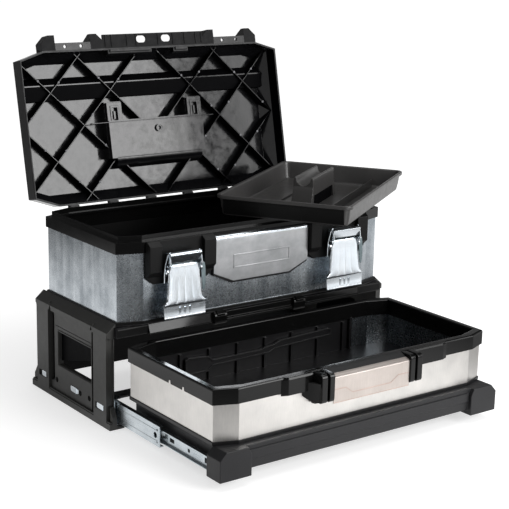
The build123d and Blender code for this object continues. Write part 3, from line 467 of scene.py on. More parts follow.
def lever(side):
    """Four shallow flutes run down the face, between two curled edges."""
    bm = bmesh.new()
    steps, sheet, curl, margin, lean_out = 64, 1.3, 2.0, 4.5, 4.4
    flute_top, flute_foot, fade_in, fade_out, flute_depth = 247, 192.4, 10, 9, 0.32
    levels = [250, 249, 247, 244, 240, 235, 229, 222, 215, 208, 203, 199, 197, 195, 193.5, flute_foot]
    rings = []
    for z in levels:
        half = min(lever_half(z), TAB_HALF)
        field = half - margin
        fade = (min(1, max(0, (flute_top - z) / fade_in))
                * min(1, max(0, (z - flute_foot) / fade_out)) ** 0.5)
        front, back = [], []
        lean = lean_out * (PIVOT_Z - z) / LEVER_DROP
        for i in range(steps + 1):
            x = -half + 2 * half * i / steps
            flute = 0
            if abs(x) < field:
                phase = (x / field + 1) * 2 % 1
                flute = flute_depth * fade * sin(pi * phase) ** 0.35
            edge = max(0.0, abs(x) - (half - curl))
            roll = curl - sqrt(max(0.0, curl ** 2 - edge ** 2))
            y = LEVER_FACE - lean - flute + roll
            front.append((x, y, z))
            back.append((x, y + sheet, z))
        rings.append(front + back[::-1])
    skin(bm, rings)
    # The tab leans out at its foot, below a small step, and ends in a rolled edge
    tab = ((193.2, -156.3, TAB_HALF), (192.2, -155.4, TAB_HALF), (191, -154.9, TAB_HALF), (189, -154.9, 37.8),
           (182, -155.3, 37.4), (174, -155.8, 36.9), (172.4, -156.2, 36.8), (171, -156.6, 36.7),
           (170, -156, 36.7), (169.7, -154.8, 36.7))
    skin(bm, [lifted(rect((-half, half), (y, y + sheet)), "z", z) for z, y, half in tab])
    for x in (-9, 0, 9):
        slot, hole = rect((x - 1.5, x + 1.5), (176.5, 186.5)), rect((x - 0.7, x + 0.7), (177.3, 185.7))
        frame_of(bm, slot, hole, "y", -155.7, -154.6)
    # Side flanges run back to the pivot
    flange = [(-152, 251), (-145, 253), (-144, 247), (-146, 236), (-150, 214), (-152, 200)]
    for way in WAYS:
        skin(bm, [[(way * (lever_half(z) - 0.4 - inset), y, z) for y, z in flange] for inset in (0, sheet)])
    prism(bm, oval(2, 2, (PIVOT_Y, 244), 14), "x", -31.5, 31.5)
    prism(bm, oval(2.9, 2.9, (PIVOT_Y, PIVOT_Z), 16), "x", -24.5, 24.5)
    finish(bm, f"latch_lever_pressing_{side}", f"lever_{side}", LATCH_ZINC, 0, at_latch(side), 50,
           node=f"latch_lever_{side}")


def hook(side):
    """The plate rolls over at its top and hollows below, so it shows a bright bead over a dark band."""
    body = f"hook_{side}"
    bm = bmesh.new()
    half_width, widens, last_straight, sheet = 28, 0.35, 5, 1.2
    section = [(-147.5, 270.4), (-149.5, 271.6), (-152.4, 272.2), (-155.6, 271.8), (-157.6, 270.6),
               (-158.6, 269), (-158.2, 267.2), (-157.2, 263.6), (-155.8, 259.6), (-154.6, 256.2)]
    rings = []
    for i, (y, z) in enumerate(section):
        half = half_width + max(0, i - last_straight) * widens
        before, after = section[max(i - 1, 0)], section[min(i + 1, len(section) - 1)]
        run = Vector((after[0] - before[0], after[1] - before[1])).normalized() * sheet
        rings.append([(-half, y, z), (half, y, z), (half, y - run[1], z + run[0]),
                      (-half, y - run[1], z + run[0])])
    skin(bm, rings)
    cheek = [(-156.5, 269), (-147.4, 271.4), (-144.6, 264), (-144.2, 240), (-147, 236.5), (-151.5, 239),
             (-157.6, 249), (-159, 256)]
    tab = [(28.6, -158.6), (31.4, -157.4), (31.4, -150), (28.6, -150)]
    heads = bmesh.new()
    for way in WAYS:
        prism(bm, cheek, "x", way * 27.2, way * 28.8)
        # A bright tab bent outwards over the pin, and the pin's oval head
        prism(bm, [(way * x, y) for x, y in tab], "z", 250.5, 253.5)
        skin(heads, [lifted(oval(3.2 * grow, 4.6 * grow, (-151.5, 243), 16), "x", way * reach)
                     for reach, grow in ((29.2, 1), (31.0, 0.98), (32.4, 0.8), (33.0, 0.45))])
    finish(bm, f"latch_hook_pressing_{side}", body, LATCH_ZINC, 0.35, at_latch(side), 40,
           node=f"latch_hook_{side}")
    finish(heads, f"latch_pin_heads_{side}", body, LATCH_ZINC, 0, at_latch(side), 50, slot="bright_zinc")
    # A long arm runs down beside the lever on the right of each latch, drawn in darker zinc as a painted dark
    # reflection
    arm = [(30, 252), (37, 250), (38.6, 240), (39.4, 222), (38.2, 209), (36.2, 206.6), (33.8, 208),
           (32.6, 220), (31, 238)]
    extruded(f"latch_side_arm_painted_reflection_{side}", body, DARK_ZINC, 0.3, [(arm, "y", -152.6, -151.2)],
             place=at_latch(side), slot="bright_zinc")
    bail = ((26, -153, 272.4), (29, -153, 271.5), (31, -152.4, 264), (32.6, -151.4, 257),
            (33.6, -150.6, 249), (33.8, -150, 238), (33.4, -149.6, 226))
    for label, way in SIDES.items():
        run = [(SIDES[side] * LATCH_X + way * reach, y, z) for reach, y, z in bail]
        wire(f"latch_wire_{label}_{side}", body, LATCH_ZINC, 0.8, run, "bright_zinc")


for side in SIDES:
    lever(side)
    hook(side)


# Drawer: the rim steps out between its plain corners and the two pull brackets
DRAWER_HALF, DRAWER_FRONT, DRAWER_BACK = 254.5, -387, -144.5
DRAWER_BEVEL = (35, 13)
PULL_HALF = 72


def rim_plan(grow):
    return chamfered(DRAWER_HALF + grow, DRAWER_FRONT - grow, DRAWER_BACK + grow,
                     DRAWER_BEVEL[0] - grow * 0.35, DRAWER_BEVEL[1] + grow * 0.1)


def drawer_rim():
    """A rolled top edge with a skirt outside the sheet and a lip inside it."""
    bm = bmesh.new()
    section = [(3, 116), (3, 136.5), (2.2, 138.3), (0.6, 139), (-7, 139), (-8.4, 138.6), (-9, 137.4),
               (-9, 113), (-6.4, 113), (-6.4, 135), (-1, 135), (0.3, 134), (0.3, 116)]
    rings = [lifted(rim_plan(grow), "z", z) for grow, z in section]
    skin(bm, rings + rings[:1], capped=False)
    bmesh.ops.remove_doubles(bm, verts=bm.verts, dist=1e-4)
    # The front stands out by another 4 mm and hangs lower from each bracket to its chamfered end
    for near, far, run in ((-96, -151, -9), (96, 167, 9)):
        plan = [(near, -390), (near, -394.2), (far - run * 1.2, -394.2), (far, -390)]
        upper = [(near, -388), (near, -392.6), (far - run * 1.3, -392.6), (far - run * 0.3, -388)]
        skin(bm, [lifted(ring, "z", z) for ring, z in (
            (plan, 112.5), (plan, 113.5), (plan, 135.6), (upper, 138.2), (upper, 139))])
    finish(bm, "drawer_rim_moulding", "drawer", RIM_BLACK, 0.9, segments=3, node="drawer_rim")


def rim_notches():
    """Two small snap slots under the rim on each side of the drawer, where the sheet shows through."""
    notches = [([(y - 2.6, 116), (y + 2.6, 116), (y + 1.6, 121.5), (y - 1.6, 121.5)], "x",
                way * 257.2, way * 257.9) for way in WAYS for y in (-270, -305)]
    extruded("drawer_rim_snaps", "drawer", DRAWER_SHEET, 0.15, notches, slot="galvanised_sheet")


def pull_bracket(side):
    """Two upright cheeks with rounded feet on a tapered backing, either side of a dark groove."""
    bm = bmesh.new()
    way = SIDES[side]
    cheek = [(-389, 139), (-409, 139), (-412.4, 137.4), (-413.8, 134), (-413.8, 101), (-412.6, 97.6),
             (-409.6, 96), (-402, 96), (-396, 93), (-389, 92)]
    backing = [(-389, 138), (-405, 138), (-406, 136), (-406, 100), (-403, 95), (-396, 92), (-389, 91)]
    for outline, inner, outer in ((cheek, 72.3, 81.2), (cheek, 85.6, 95.6), (backing, 73.5, 94.5)):
        prism(bm, outline, "x", way * inner, way * outer)
    # A gusset spreads from the outer cheek back to the sheet
    gusset = ((-411, 95.4, 97.4), (-405, 98, 96.6), (-398, 102.6, 98), (-392, 107.4, 101),
              (-387.2, 111.4, 105))
    skin(bm, [lifted(rect((way * 86, way * reach), (foot, 126)), "y", y) for y, reach, foot in gusset])
    finish(bm, f"pull_cheeks_{side}", "drawer", RIM_BLACK, 0.9, segments=3, node=f"pull_bracket_{side}")


def pull_plate():
    """The plate bends over the top of the pull and runs back to the rim. A pressed line runs along it, high
    at both ends and lower in the middle, and another along its foot; both are thin strips of darker zinc,
    painted shade for the creases."""
    section = [(-409.2, 92), (-410.6, 92.4), (-411, 94), (-411, 128.4), (-410.6, 130.6), (-409.2, 132.4),
               (-407.2, 133.4), (-404.6, 134.2), (-402, 134.9), (-402, 133.9), (-404.6, 133.2),
               (-407.6, 132), (-409.6, 129), (-409.6, 94)]
    extruded("pull_plate_pressing", "drawer", PULL_SHEET, 0.25, [(section, "x", -PULL_HALF, PULL_HALF)],
             angle=26, node="pull_plate")
    end, high, low, width = PULL_HALF - 0.5, 112.5, 103, 1.3
    path = [(-end, high), (-50, high), (-37, low), (36, low), (50, high), (end, high)]
    lines = [[(x0, z0), (x1, z1), (x1, z1 + width), (x0, z0 + width)]
             for (x0, z0), (x1, z1) in zip(path, path[1:])]
    lines.append(rect((-end, end), (92.6, 93.3)))
    extruded("pull_plate_line_painted_shade", "drawer", LINE_SHADE_ZINC, 0,
             [(line, "y", -411.3, -410.8) for line in lines], slot="galvanised_sheet")


def pull_top():
    """The top of the pull slopes up from the plate's bend to the rim."""
    section = [(-409.4, 122), (-409.4, 130.4), (-407.4, 132.6), (-402, 134.4), (-393, 138), (-388, 139.2),
               (-382, 139.3), (-382, 136), (-390, 122)]
    extruded("pull_top_moulding", "drawer", LID_BLACK, 0.6, [(section, "x", -72.6, 72.6)], angle=30,
             node="pull_top")


def rear_wall_relief():
    """A stepped bar with a raised edge stands off the drawer's rear inner wall, and a post ends it."""
    bm = bmesh.new()
    face, out = -150.4, -154.6
    outline = [(-155, 77), (-149, 74), (-112, 74), (-104, 81), (6, 83), (16, 88), (130, 92), (134, 96),
               (134, 102), (128, 105), (26, 101), (16, 96.5), (-2, 94.5), (-12, 92), (-104, 92), (-112, 99),
               (-149, 102), (-155, 99)]
    prism(bm, outline, "y", face, out)
    inner = [(-151, 79), (-148, 77), (-113, 77), (-105, 84), (5, 86), (16, 91), (128, 95), (130, 97),
             (130, 99.5), (126, 101.5), (27, 98), (17, 93.6), (-1, 91.6), (-12, 89), (-105, 89), (-113, 96),
             (-148, 98.6), (-151, 96.5)]
    frame_of(bm, outline, inner, "y", out + 0.2, out - 1.0)
    prism(bm, rect((173.5, 178.4), (-154, -148)), "z", 60.2, 115.4)
    finish(bm, "drawer_rear_relief", "drawer", DECK_BLACK, 0.5)


def sheet_inside():
    """Inside the drawer the sheet is bare zinc, seen at its right rear corner."""
    path = [(178.6, -145.6), (219.2, -145.6), (253.4, -158.3), (253.4, -372), (253.0, -372), (253.0, -158.6),
            (219.0, -145.95), (178.6, -145.95)]
    extruded("drawer_sheet_inside", "drawer", GALVANISED, 0, [(path, "z", 60.3, 115.8)],
             slot=SLOT_OF["drawer_wrapper"])


def plate_trim():
    """The centre plate's top bends back to the rim, drawn in a brighter zinc than the plate as a painted
    highlight.
    """
    bend = [(-138, 276.4), (-138, 278.6), (-137.4, 280.6), (-136, 282), (-134, 282.8), (-131.4, 283),
            (-131.4, 281.8), (-133.6, 281.6), (-135.2, 281), (-136.4, 279.8), (-137, 278), (-137, 276.4)]
    extruded("centre_plate_bend_painted_highlight", BODY_OF["centre_plate"], LATCH_ZINC, 0, [(bend, "x", -91.8, 91.8)],
             angle=30, slot=SLOT_OF["centre_plate"])


def base_trim():
    """A step runs along the front bar of the base."""
    step = [(-400.2, 50), (-401.8, 50), (-401.8, 36.5), (-400.2, 35)]
    extruded("drawer_base_step", "drawer", FOOT_BLACK, 0.4, [(step, "x", -210, 210)])


def base_corner(x, y, z):
    """The base's corner blocks end a little inside the chassis, level with the slides."""
    block_from, taper = 210, 0.136
    pull_in = max(0.0, abs(x) - block_from) * taper
    return x - copysign(pull_in, x), y, z


def pan_wall(x, y, z):
    """The pan's rear wall ends short of the right corner, where the sheet shows behind it."""
    wall_end, short_end = (215, 216), 178
    at_end = z > 59.9 and -149 < y < -145 and wall_end[0] < x < wall_end[1]
    return (short_end if at_end else x), y, z


def runner_end(x, y, z):
    """The running member stops just short of the rear panel when the drawer is shut."""
    rear_panel, travel, gap = 107, 123, 0.3
    return x, min(y, rear_panel - travel - gap), z


drawer_rim()
rim_notches()
pull_plate()
pull_top()
rear_wall_relief()
sheet_inside()
softened("drawer_base", FOOT_BLACK, 1.2, base_corner)
softened("drawer_pan", DECK_BLACK, 0.4, pan_wall)
for side in SIDES:
    softened(f"slide_middle_{side}", SLIDE_ZINC, 0.2, runner_end)
base_trim()
plate_trim()
for side in SIDES:
    pull_bracket(side)


# Lid: drawn by its own reach from the hinge side (s) and depth under its rim (u), then opened
HINGE_Y, HINGE_Z = 125, 284
LID_REAR, LID_RIM = 114, 289
LID_OPEN = radians(-102)
SHELF_HALF = 239


def in_lid(x, s, u):
    back, high = (LID_REAR - s) - HINGE_Y, (LID_RIM + u) - HINGE_Z
    return (x, HINGE_Y + back * cos(LID_OPEN) - high * sin(LID_OPEN),
            HINGE_Z + back * sin(LID_OPEN) + high * cos(LID_OPEN))


def lattice_top(x, y, z):
    """The short ribs over the middle of the recess sink into it."""
    hinge_side, recess_end, depth = 314.8, (150, 158), 26
    reach = LID_UP[1] * y + LID_UP[2] * z - hinge_side
    sink = depth if abs(x) < 1 and recess_end[0] < reach < recess_end[1] else 0
    return x, y - LID_UP[1] * sink, z - LID_UP[2] * sink


def lid_beam():
    """A sloping shelf crosses the lid, thin at its lower side and square at its upper one, which shows as a
    thin line. The shelf is drawn near-black as painted shade; its upper edge keeps the lid's gloss."""
    shelf = [(173.6, 43.4), (174.6, 34.6), (198.2, 29.8), (200.4, 29.6), (207, 36), (213, 43.4)]
    extruded("lid_cross_shelf", "lid", RIB_SHADE_BLACK, 0.35, [(shelf, "x", -SHELF_HALF, SHELF_HALF)], place=in_lid)
    edge = rect((198.8, 200.6), (29.1, 30.6))
    extruded("lid_shelf_edge", "lid", LID_BLACK, 0, [(edge, "x", -SHELF_HALF, SHELF_HALF)], place=in_lid)


def rib_crests():
    """The ribs' tops keep the lid's own gloss over the ribs' painted shade, and catch the light as thin
    lines.
    """
    crest_level, side_margin, rise = 28, 0.55, 0.25
    inside = Vector(in_lid(0, 0, 0)) - Vector(in_lid(0, 0, 1))
    bm = welded("lid_lattice")
    moved(bm, lattice_top)
    level = Vector(in_lid(0, 0, crest_level)).dot(inside) * MM
    others = [f for f in bm.faces if f.normal.dot(inside) < 0.98
              or f.calc_center_median().dot(inside) < level]
    bmesh.ops.delete(bm, geom=others, context="FACES")
    flattened(bm)
    margin = bmesh.ops.inset_region(bm, faces=bm.faces[:], thickness=side_margin * MM, use_boundary=True,
                                    use_even_offset=True)["faces"]
    bmesh.ops.delete(bm, geom=margin, context="FACES")
    raised = bmesh.ops.extrude_face_region(bm, geom=bm.faces[:], use_keep_orig=True)["geom"]
    tops = [v for v in raised if isinstance(v, bmesh.types.BMVert)]
    bmesh.ops.translate(bm, vec=inside * rise * MM, verts=tops)
    bmesh.ops.recalc_face_normals(bm, faces=bm.faces)
    publish(edges_rounded(as_mesh(bm, "crests"), 0), "lid_rib_crests", "lid", LID_BLACK)


def lid_end_shade_lining():
    """The lid's end walls are lined with a near-black sheet, painted shade for the dark of the lid."""
    wall = rect((19, 237.4), (0.6, 23.6))
    extruded("lid_end_shade_lining", "lid", RIB_SHADE_BLACK, 0,
             [(wall, "x", way * 253.65, way * 253.95) for way in WAYS], place=in_lid)


def lid_pads():
    """Round pads stand on the ribs beside each crossing, but not over the recess, in a light grey that paints
    their highlights. The ribs are named by where they would meet the hinge side."""
    falling_ribs, rising_ribs, rib_level = (-382, -268, -154), (-122, -8, 106), 24.8
    field_x, field_s, recess_x, recess_s = (-248, -12), (8, 246), -96, (68, 165)
    places = []
    for way in WAYS:
        for falling in falling_ribs:
            for rising in rising_ribs:
                x, s = (falling + rising) / 2, (rising - falling) / 2
                for step, lane in ((17, 1), (-21, -1)):
                    px, ps = x + step, s + step * lane
                    in_field = field_x[0] < px < field_x[1] and field_s[0] < ps < field_s[1]
                    over_recess = px > recess_x and recess_s[0] < ps < recess_s[1]
                    if in_field and not over_recess:
                        places.append(in_lid(-px * way, ps, rib_level))
    values = {"Foot Radius": 2.2 * MM, "Head Radius": 1.7 * MM, "Height": 1.2 * MM,
              "Turn": (-LID_OPEN, 0, 0), "Sides": 12}
    repeat(STUD_TREE, "lid_rib_highlight_pads", "lid", PAD_HIGHLIGHT_GREY, places, values, 0.15)


def lid_recess():
    """On the handle's recess: a moulded boss, a rib along its upper edge, and a frame round each arm."""
    bm = bmesh.new()
    centre, steps, face = (1.6, 115.5), 28, 18.4
    frame_of(bm, oval(6.2, 6.2, centre, steps), oval(3.2, 3.2, centre, steps), "z", face, 14.6)
    prism(bm, oval(3.5, 3.5, centre, steps), "z", face, 17.4)
    prism(bm, [(130.2, 24), (132.2, 24), (131.9, 16), (130.5, 16)], "x", -128, 118)
    # The recess rolls down to the skin along its lower edge
    prism(bm, [(72, 18), (67, 18), (63, 18.9), (59.4, 21.2), (56.4, 25), (54.2, 30), (52.8, 36), (52, 43.4),
               (72, 43.4)], "x", -85, 88)
    for x in (-81, 81):
        outer = rect((x - 14.4, x + 14.4), (131, 164.5))
        middle = rect((x - 8.4, x + 8.4), (131.5, 159))
        inner = rect((x - 5.2, x + 5.2), (133, 155.5))
        frame_of(bm, outer, inner, "z", 25.4, 19.6)
        frame_of(bm, middle, inner, "z", 19.8, face)
        prism(bm, rect((x - 0.6, x + 3.4), (136, 150)), "z", 25.2, 22.2)
    finish(bm, "lid_recess_fittings", "lid", LID_BLACK, 0.35, in_lid, 24)


def lid_front_ledges():
    """Stepped ledges under the lid's front lip, and joint ribs on the lip itself."""
    edge = 252
    parts = []
    for x0, x1, low in ((-92, -6, 242.5), (38, 68, 241.5)):
        parts.append(([(low, 12), (low, 3), (low + 3, 0.5), (edge, 0.5), (edge, 12)], "x", x0, x1))
        parts.append(([(low + 4.5, 3), (low + 4.5, -1.6), (low + 6, -2.4), (edge, -2.4), (edge, 3)], "x",
                      x0 + 3, x1 - 3))
    extruded("lid_front_ledges", "lid", LID_BLACK, 0.5, parts, place=in_lid)
    places = [in_lid(x, 266.5, -0.6) for x in (-96, -84, -54, -36, 8, 38, 62, 85, 97)]
    values = {"Rib Size": (1.3 * MM, 20 * MM, 1.4 * MM), "Turn": (LID_OPEN, 0, 0)}
    repeat(RIB_TREE, "lid_lip_ribs", "lid", LID_BLACK, places, values, 0.25)


lid_beam()
# The lattice's ribs are drawn near-black and almost unreflecting, painted shade on their sides
softened("lid_lattice", RIB_SHADE_BLACK, 0.3, lattice_top)
rib_crests()
lid_end_shade_lining()
lid_pads()
lid_recess()
lid_front_ledges()


# Chassis
TUB_HALF, TUB_FRONT, TUB_BACK = 254, -129, 111
TUB_BEVEL = (39, 12.4)


def channel(y0, y1, foot, eaves, tip):
    """An upright channel that closes to a point."""
    return [(y0, foot), (y1, foot), (y1, eaves), ((y0 + y1) / 2, tip), (y0, eaves)]


def side_panel(side):
    """Black channels flank the pillars, and close to a point under the shoulder."""
    way = SIDES[side]
    cutter = bmesh.new()
    for y0, y1, foot in ((-76.6, -64.6, 12), (55.5, 69.1, 26), (108.2, 112, 12), (-119.5, -116.2, 12)):
        prism(cutter, channel(y0, y1, foot, 138, 153), "x", way * 261.5, way * 274)
    softened(f"chassis_side_{side}", PANEL_SHEEN_CHARCOAL, 0.7, cutter=cutter)
    # The channels' floors are lined with near-black strips, painted shade for their depth
    extruded(f"side_channel_shade_floors_{side}", "chassis", RIB_SHADE_BLACK, 0,
             [(channel(y0, y1, 27, 137.8, 152), "x", way * 261, way * 263)
              for y0, y1 in ((-76.4, -64.8), (55.7, 68.9))])
    bm = bmesh.new()
    around, window = rect((-66.7, 43.7), (55.3, 115.7)), rect((-65.1, 42.1), (56.9, 114.1))
    frame_of(bm, around, window, "x", way * 267.8, way * 269.3)
    # A line over the window, a raised line that parts the shoulder from each pillar, feet under both
    # ends of the bottom rail, and a bead along the rail
    for y, z, inner, outer in (
            ((-64, 52), (120.4, 121.6), 267.8, 268.8),
            ((-74.7, -73.3), (150, 157), 262, 270.6), ((66.3, 67.7), (150, 157), 262, 270.6),
            ((109, 126.6), (0.2, 6.5), 258, 272.3), ((-126.6, -104), (0.2, 6.5), 258, 272.3),
            ((-126, 126), (10.2, 12.6), 266, 271.6)):
        prism(bm, rect(y, z), "x", way * inner, way * outer)
    finish(bm, f"side_panel_trim_{side}", "chassis", PANEL_SHEEN_CHARCOAL, 0.35)
    # The slide's zinc hooks show in the three slots of the rail, the middle one further in
    tabs = bmesh.new()
    for y, flush in ((82, 271.9), (-9, 268.9), (-97, 271.9)):
        skin(tabs, [lifted(oval(12.6 * grow, 5 * grow, (y, 30), 24, 0.5), "x", way * (flush - depth))
                    for depth, grow in ((6, 1), (0.9, 1), (0.2, 0.93), (0, 0.8))])
        prism(tabs, rect((y - 8, y - 6), (25.4, 34.6)), "x", way * (flush - 3), way * (flush + 0.6))
    finish(tabs, f"slide_hooks_{side}", "chassis", LATCH_ZINC, 0.2, angle=40, slot="zinc_plate")
    # A brace crosses the window's upper rear corner, just inside it, drawn near-black as painted shade
    brace = [(-70, 117), (-70, 94), (46, 62), (46, 117)]
    extruded(f"side_inner_brace_{side}", "chassis", RIB_SHADE_BLACK, 0.3, [(brace, "x", way * 260.4, way * 262.6)])


def deck_front():
    """A sloping nose along the deck's front between two plain corner blocks, with two snap catches."""
    nose = bmesh.new()
    left, split, right, back = -206, -88, 206, -126.5
    # Left of the first catch its face leans back, less and less; on the right it stands over a lip
    leans = ((left, 0), (-178, 0.6), (-150, 1.4), (-120, 2.6), (split, 3.6))
    skin(nose, [lifted([(back, 160.4), (-128.6 - 0.5 * lean, 160.2), (-134.2 + 0.3 * lean, 145.8),
                        (-133.6 + 0.3 * lean, 144.2), (back, 144.2)], "x", x) for x, lean in leans])
    prism(nose, [(back, 160.4), (-130.6, 160), (-132.4, 158.4), (-133.2, 149.4), (-135.4, 147.4),
                 (-135, 144.2), (back, 144.2)], "x", split, right)
    finish(nose, "deck_nose", "chassis", RIM_BLACK, 0.4, angle=20)
    block = [(-126, 160), (-128.4, 159), (-129.4, 157), (-129.4, 146), (-126, 144.6)]
    extruded("deck_corner_blocks", "chassis", BASE_BLACK, 0.5,
             [(block, "x", way * 206.4, way * 259.5) for way in WAYS])
    catch = [(-128, 162.4), (-134, 161.2), (-138, 157.6), (-139, 154), (-138.6, 144.6), (-136.8, 141.6),
             (-133, 141.2), (-128, 144.4)]
    crown = [(-131, 163.2), (-135.6, 162.6), (-139.8, 158.4), (-140, 155), (-131, 155)]
    extruded("deck_catches", "chassis", RIM_BLACK, 0.5,
             [(outline, "x", x - half, x + half) for x in (-78, 78)
              for outline, half in ((catch, 11.5), (crown, 7))])


def tub_plan(grow):
    return chamfered(TUB_HALF + grow, TUB_FRONT - grow, TUB_BACK + grow,
                     TUB_BEVEL[0] - grow * 0.2, TUB_BEVEL[1] + grow * 0.1)


def plinth_steps():
    """Two thin steps run round the foot of the tub."""
    bm = bmesh.new()
    for grow, low, high in ((3.6, 160.2, 162.2), (2.2, 164.2, 166.8)):
        frame_of(bm, tub_plan(grow), tub_plan(-0.6), "z", low, high)
    finish(bm, "tub_plinth_steps", "chassis", DECK_BLACK, 0.35)


def tub_liner():
    """A thin black liner stands inside the tub's sheet, up to the rim."""
    bm = bmesh.new()
    frame_of(bm, tub_plan(-1.4), tub_plan(-3), "z", 172.6, 262.4)
    finish(bm, "tub_liner", "chassis", BASE_BLACK, 0)


for side in SIDES:
    side_panel(side)
deck_front()
plinth_steps()
tub_liner()


# Tray: drawn square to itself about its middle, then turned across the tub
TRAY_TURN = radians(34.2)
TRAY_CENTRE = (163, -61, 297.3)
TRAY_HALF = (172.5, 112.5)


def in_tray(x, y, z):
    c, s = cos(TRAY_TURN), sin(TRAY_TURN)
    return TRAY_CENTRE[0] + x * c - y * s, TRAY_CENTRE[1] + x * s + y * c, TRAY_CENTRE[2] + z


def rounded_plan(half_x, half_y, corner, steps=6):
    points = []
    for cx, cy, start in ((1, 1, 0), (-1, 1, 90), (-1, -1, 180), (1, -1, 270)):
        for i in range(steps + 1):
            turn = radians(start + 90 * i / steps)
            points.append((cx * (half_x - corner) + corner * cos(turn),
                           cy * (half_y - corner) + corner * sin(turn)))
    return points


def tray():
    """A tapered dish with a rolled rim and a raised floor step, and a low divider."""
    bm = bmesh.new()
    section = [(-12, 0.0, 7), (-9.6, 0.6, 8), (-8.4, 2.4, 8.5), (-6, 14, 9.5), (-4.4, 27.6, 10.5),
               (-0.4, 28, 14.4), (-0.1, 28.6, 14.6), (-0.1, 32.6, 14.6), (-0.7, 33.7, 14), (-2.2, 34, 12.6),
               (-4.4, 33.6, 11.4), (-5.8, 32.2, 10.6), (-6.8, 27, 9.6), (-8.6, 14, 8), (-10.6, 5.4, 7),
               (-12.4, 3, 6), (-15, 2.4, 5)]
    skin(bm, [lifted(rounded_plan(TRAY_HALF[0] + grow, TRAY_HALF[1] + grow, corner), "z", z)
              for grow, z, corner in section])
    # The floor is a little higher behind a step, and a divider stands in front of the grip
    prism(bm, [(46, 2), (97.5, 2), (97.5, 5.2), (47.2, 5.2)], "x", -158, 158)
    prism(bm, [(-59, 2), (-57, 2), (-57.4, 16), (-58.6, 16)], "x", -157, 157)
    finish(bm, "tray_dish", "tray", TRAY_GREY, 0.35, in_tray, 20, node="tray")


def tray_end():
    """The outside of the near end is skinned in a darker black as painted shade, with two fine ribs down it.
    """
    rib = [(-163.4, 2.2), (-164.9, 2.2), (-168.9, 27.4), (-167.4, 27.4)]
    # The grained outline is the near-black skin over the end, painted shade
    grained = [(-163.4, 3), (-164.5, 3), (-166.8, 14), (-168.3, 27), (-167, 27), (-165.6, 14)]
    parts = [(rib, "y", y - 0.7, y + 0.7) for y in (38, -31)]
    parts += [(grained, "y", y0, y1) for y0, y1 in ((-100, -31.8), (-30.2, 37.2), (38.8, 100))]
    extruded("tray_end_painted_shade", "tray", BASE_BLACK, 0, parts, place=in_tray, slot="grey_plastic")


def tray_grip():
    """Two splayed legs under a rail with a rounded groove along its top. Between the legs the grip's sides
    are set back, and a near-black web paints their shade."""
    bm = bmesh.new()
    left, right, groove, crown = -62, 57, 12.4, 50
    scoop = [(cos(radians(a)) * groove, crown + sin(radians(a)) * groove) for a in range(180, 361, 18)]
    rail = [(-17.4, 22), (-17, 44), (-16.4, crown), (-15, 51.6), (-13.2, 51.4)] + scoop + [
            (13.2, 51.4), (15, 51.6), (16.4, crown), (17, 44), (17.4, 22)]
    prism(bm, rail, "x", left, right)
    for end, way in ((left, -1), (right, 1)):
        skin(bm, [lifted(rect((end + way * grow, end - way * deep), (-half, half)), "z", z)
                  for grow, deep, z, half in ((0, 9, 37, 17), (1, 10, 30, 17.2), (5, 6, 20, 17.5),
                                              (9, 4, 8, 17.8), (12, 3, 1.6, 18.4))])
    finish(bm, "tray_grip", "tray", TRAY_GREY, 0.7, in_tray, 32, slot="grey_plastic")
    web = rect((-56, 51), (-15.6, 15.6))
    extruded("tray_grip_shade_web", "tray", RIB_SHADE_BLACK, 0.4, [(web, "z", 2, 24)], place=in_tray, slot="grey_plastic")


tray()
tray_end()
tray_grip()


# Slides: balls in their cages, and folded lips
def slide_details(side):
    way = SIDES[side]
    places = [(way * 253.2, y, z) for y in range(-214, -146, 9) for z in (12.4, 37.6)]
    values = {"Foot Radius": 1.5 * MM, "Head Radius": 0.8 * MM, "Height": 2.4 * MM,
              "Turn": (0, radians(90) * way, 0), "Sides": 10}
    repeat(STUD_TREE, f"slide_balls_{side}", f"runner_{side}", LATCH_ZINC, places, values, 0.2,
           slot="zinc_plate")
    folds = [(rect((-236, -22), z), "x", way * 256.2, way * 256.9) for z in ((16.6, 17.4), (32.6, 33.4))]
    extruded(f"slide_fold_lines_{side}", f"runner_{side}", SLIDE_ZINC, 0.15, folds, slot="zinc_plate")


for side in SIDES:
    slide_details(side)


# Studio
def studio_world():
    """White to the camera; in reflections the room is white at the horizon and dark overhead."""
    world = bpy.data.worlds.new("studio")
    bpy.context.scene.world = world
    world.use_nodes = True
    tree = world.node_tree
    tree.nodes.clear()
    ray = add(tree, "LightPath").outputs
    way = add(tree, "TexCoord").outputs["Generated"]
    height = add(tree, "SeparateXYZ", {"Vector": way}).outputs["Z"]
    sweep = add(tree, "MapRange", {
        "Value": height, "From Min": 0.02, "From Max": 0.36, "To Min": 0.8, "To Max": 0.05})
    gloss = add(tree, "Math", {0: ray["Is Glossy Ray"], 1: sweep}, operation="MULTIPLY")
    clear = add(tree, "Math", {0: ray["Is Camera Ray"], 1: ray["Is Transmission Ray"]}, operation="MAXIMUM")
    shown = add(tree, "Math", {0: clear, 1: gloss}, operation="MAXIMUM")
    soft = add(tree, "Math", {0: ray["Is Diffuse Ray"], 1: 0.34}, operation="MULTIPLY")
    level = add(tree, "Math", {0: shown, 1: soft}, operation="MAXIMUM")
    sky = add(tree, "Background", {"Color": linear("#ffffff"), "Strength": level})
    add(tree, "OutputWorld", {"Surface": sky})


def softbox(name, place, target, width, height, watts):
    lamp = bpy.data.lights.new(name, "AREA")
    lamp.shape = "RECTANGLE"
    lamp.size, lamp.size_y, lamp.energy = width, height, watts
    rig = linked(lamp, name)
    rig.location = place
    rig.rotation_euler = (Vector(target) - Vector(place)).to_track_quat("-Z", "Y").to_euler()


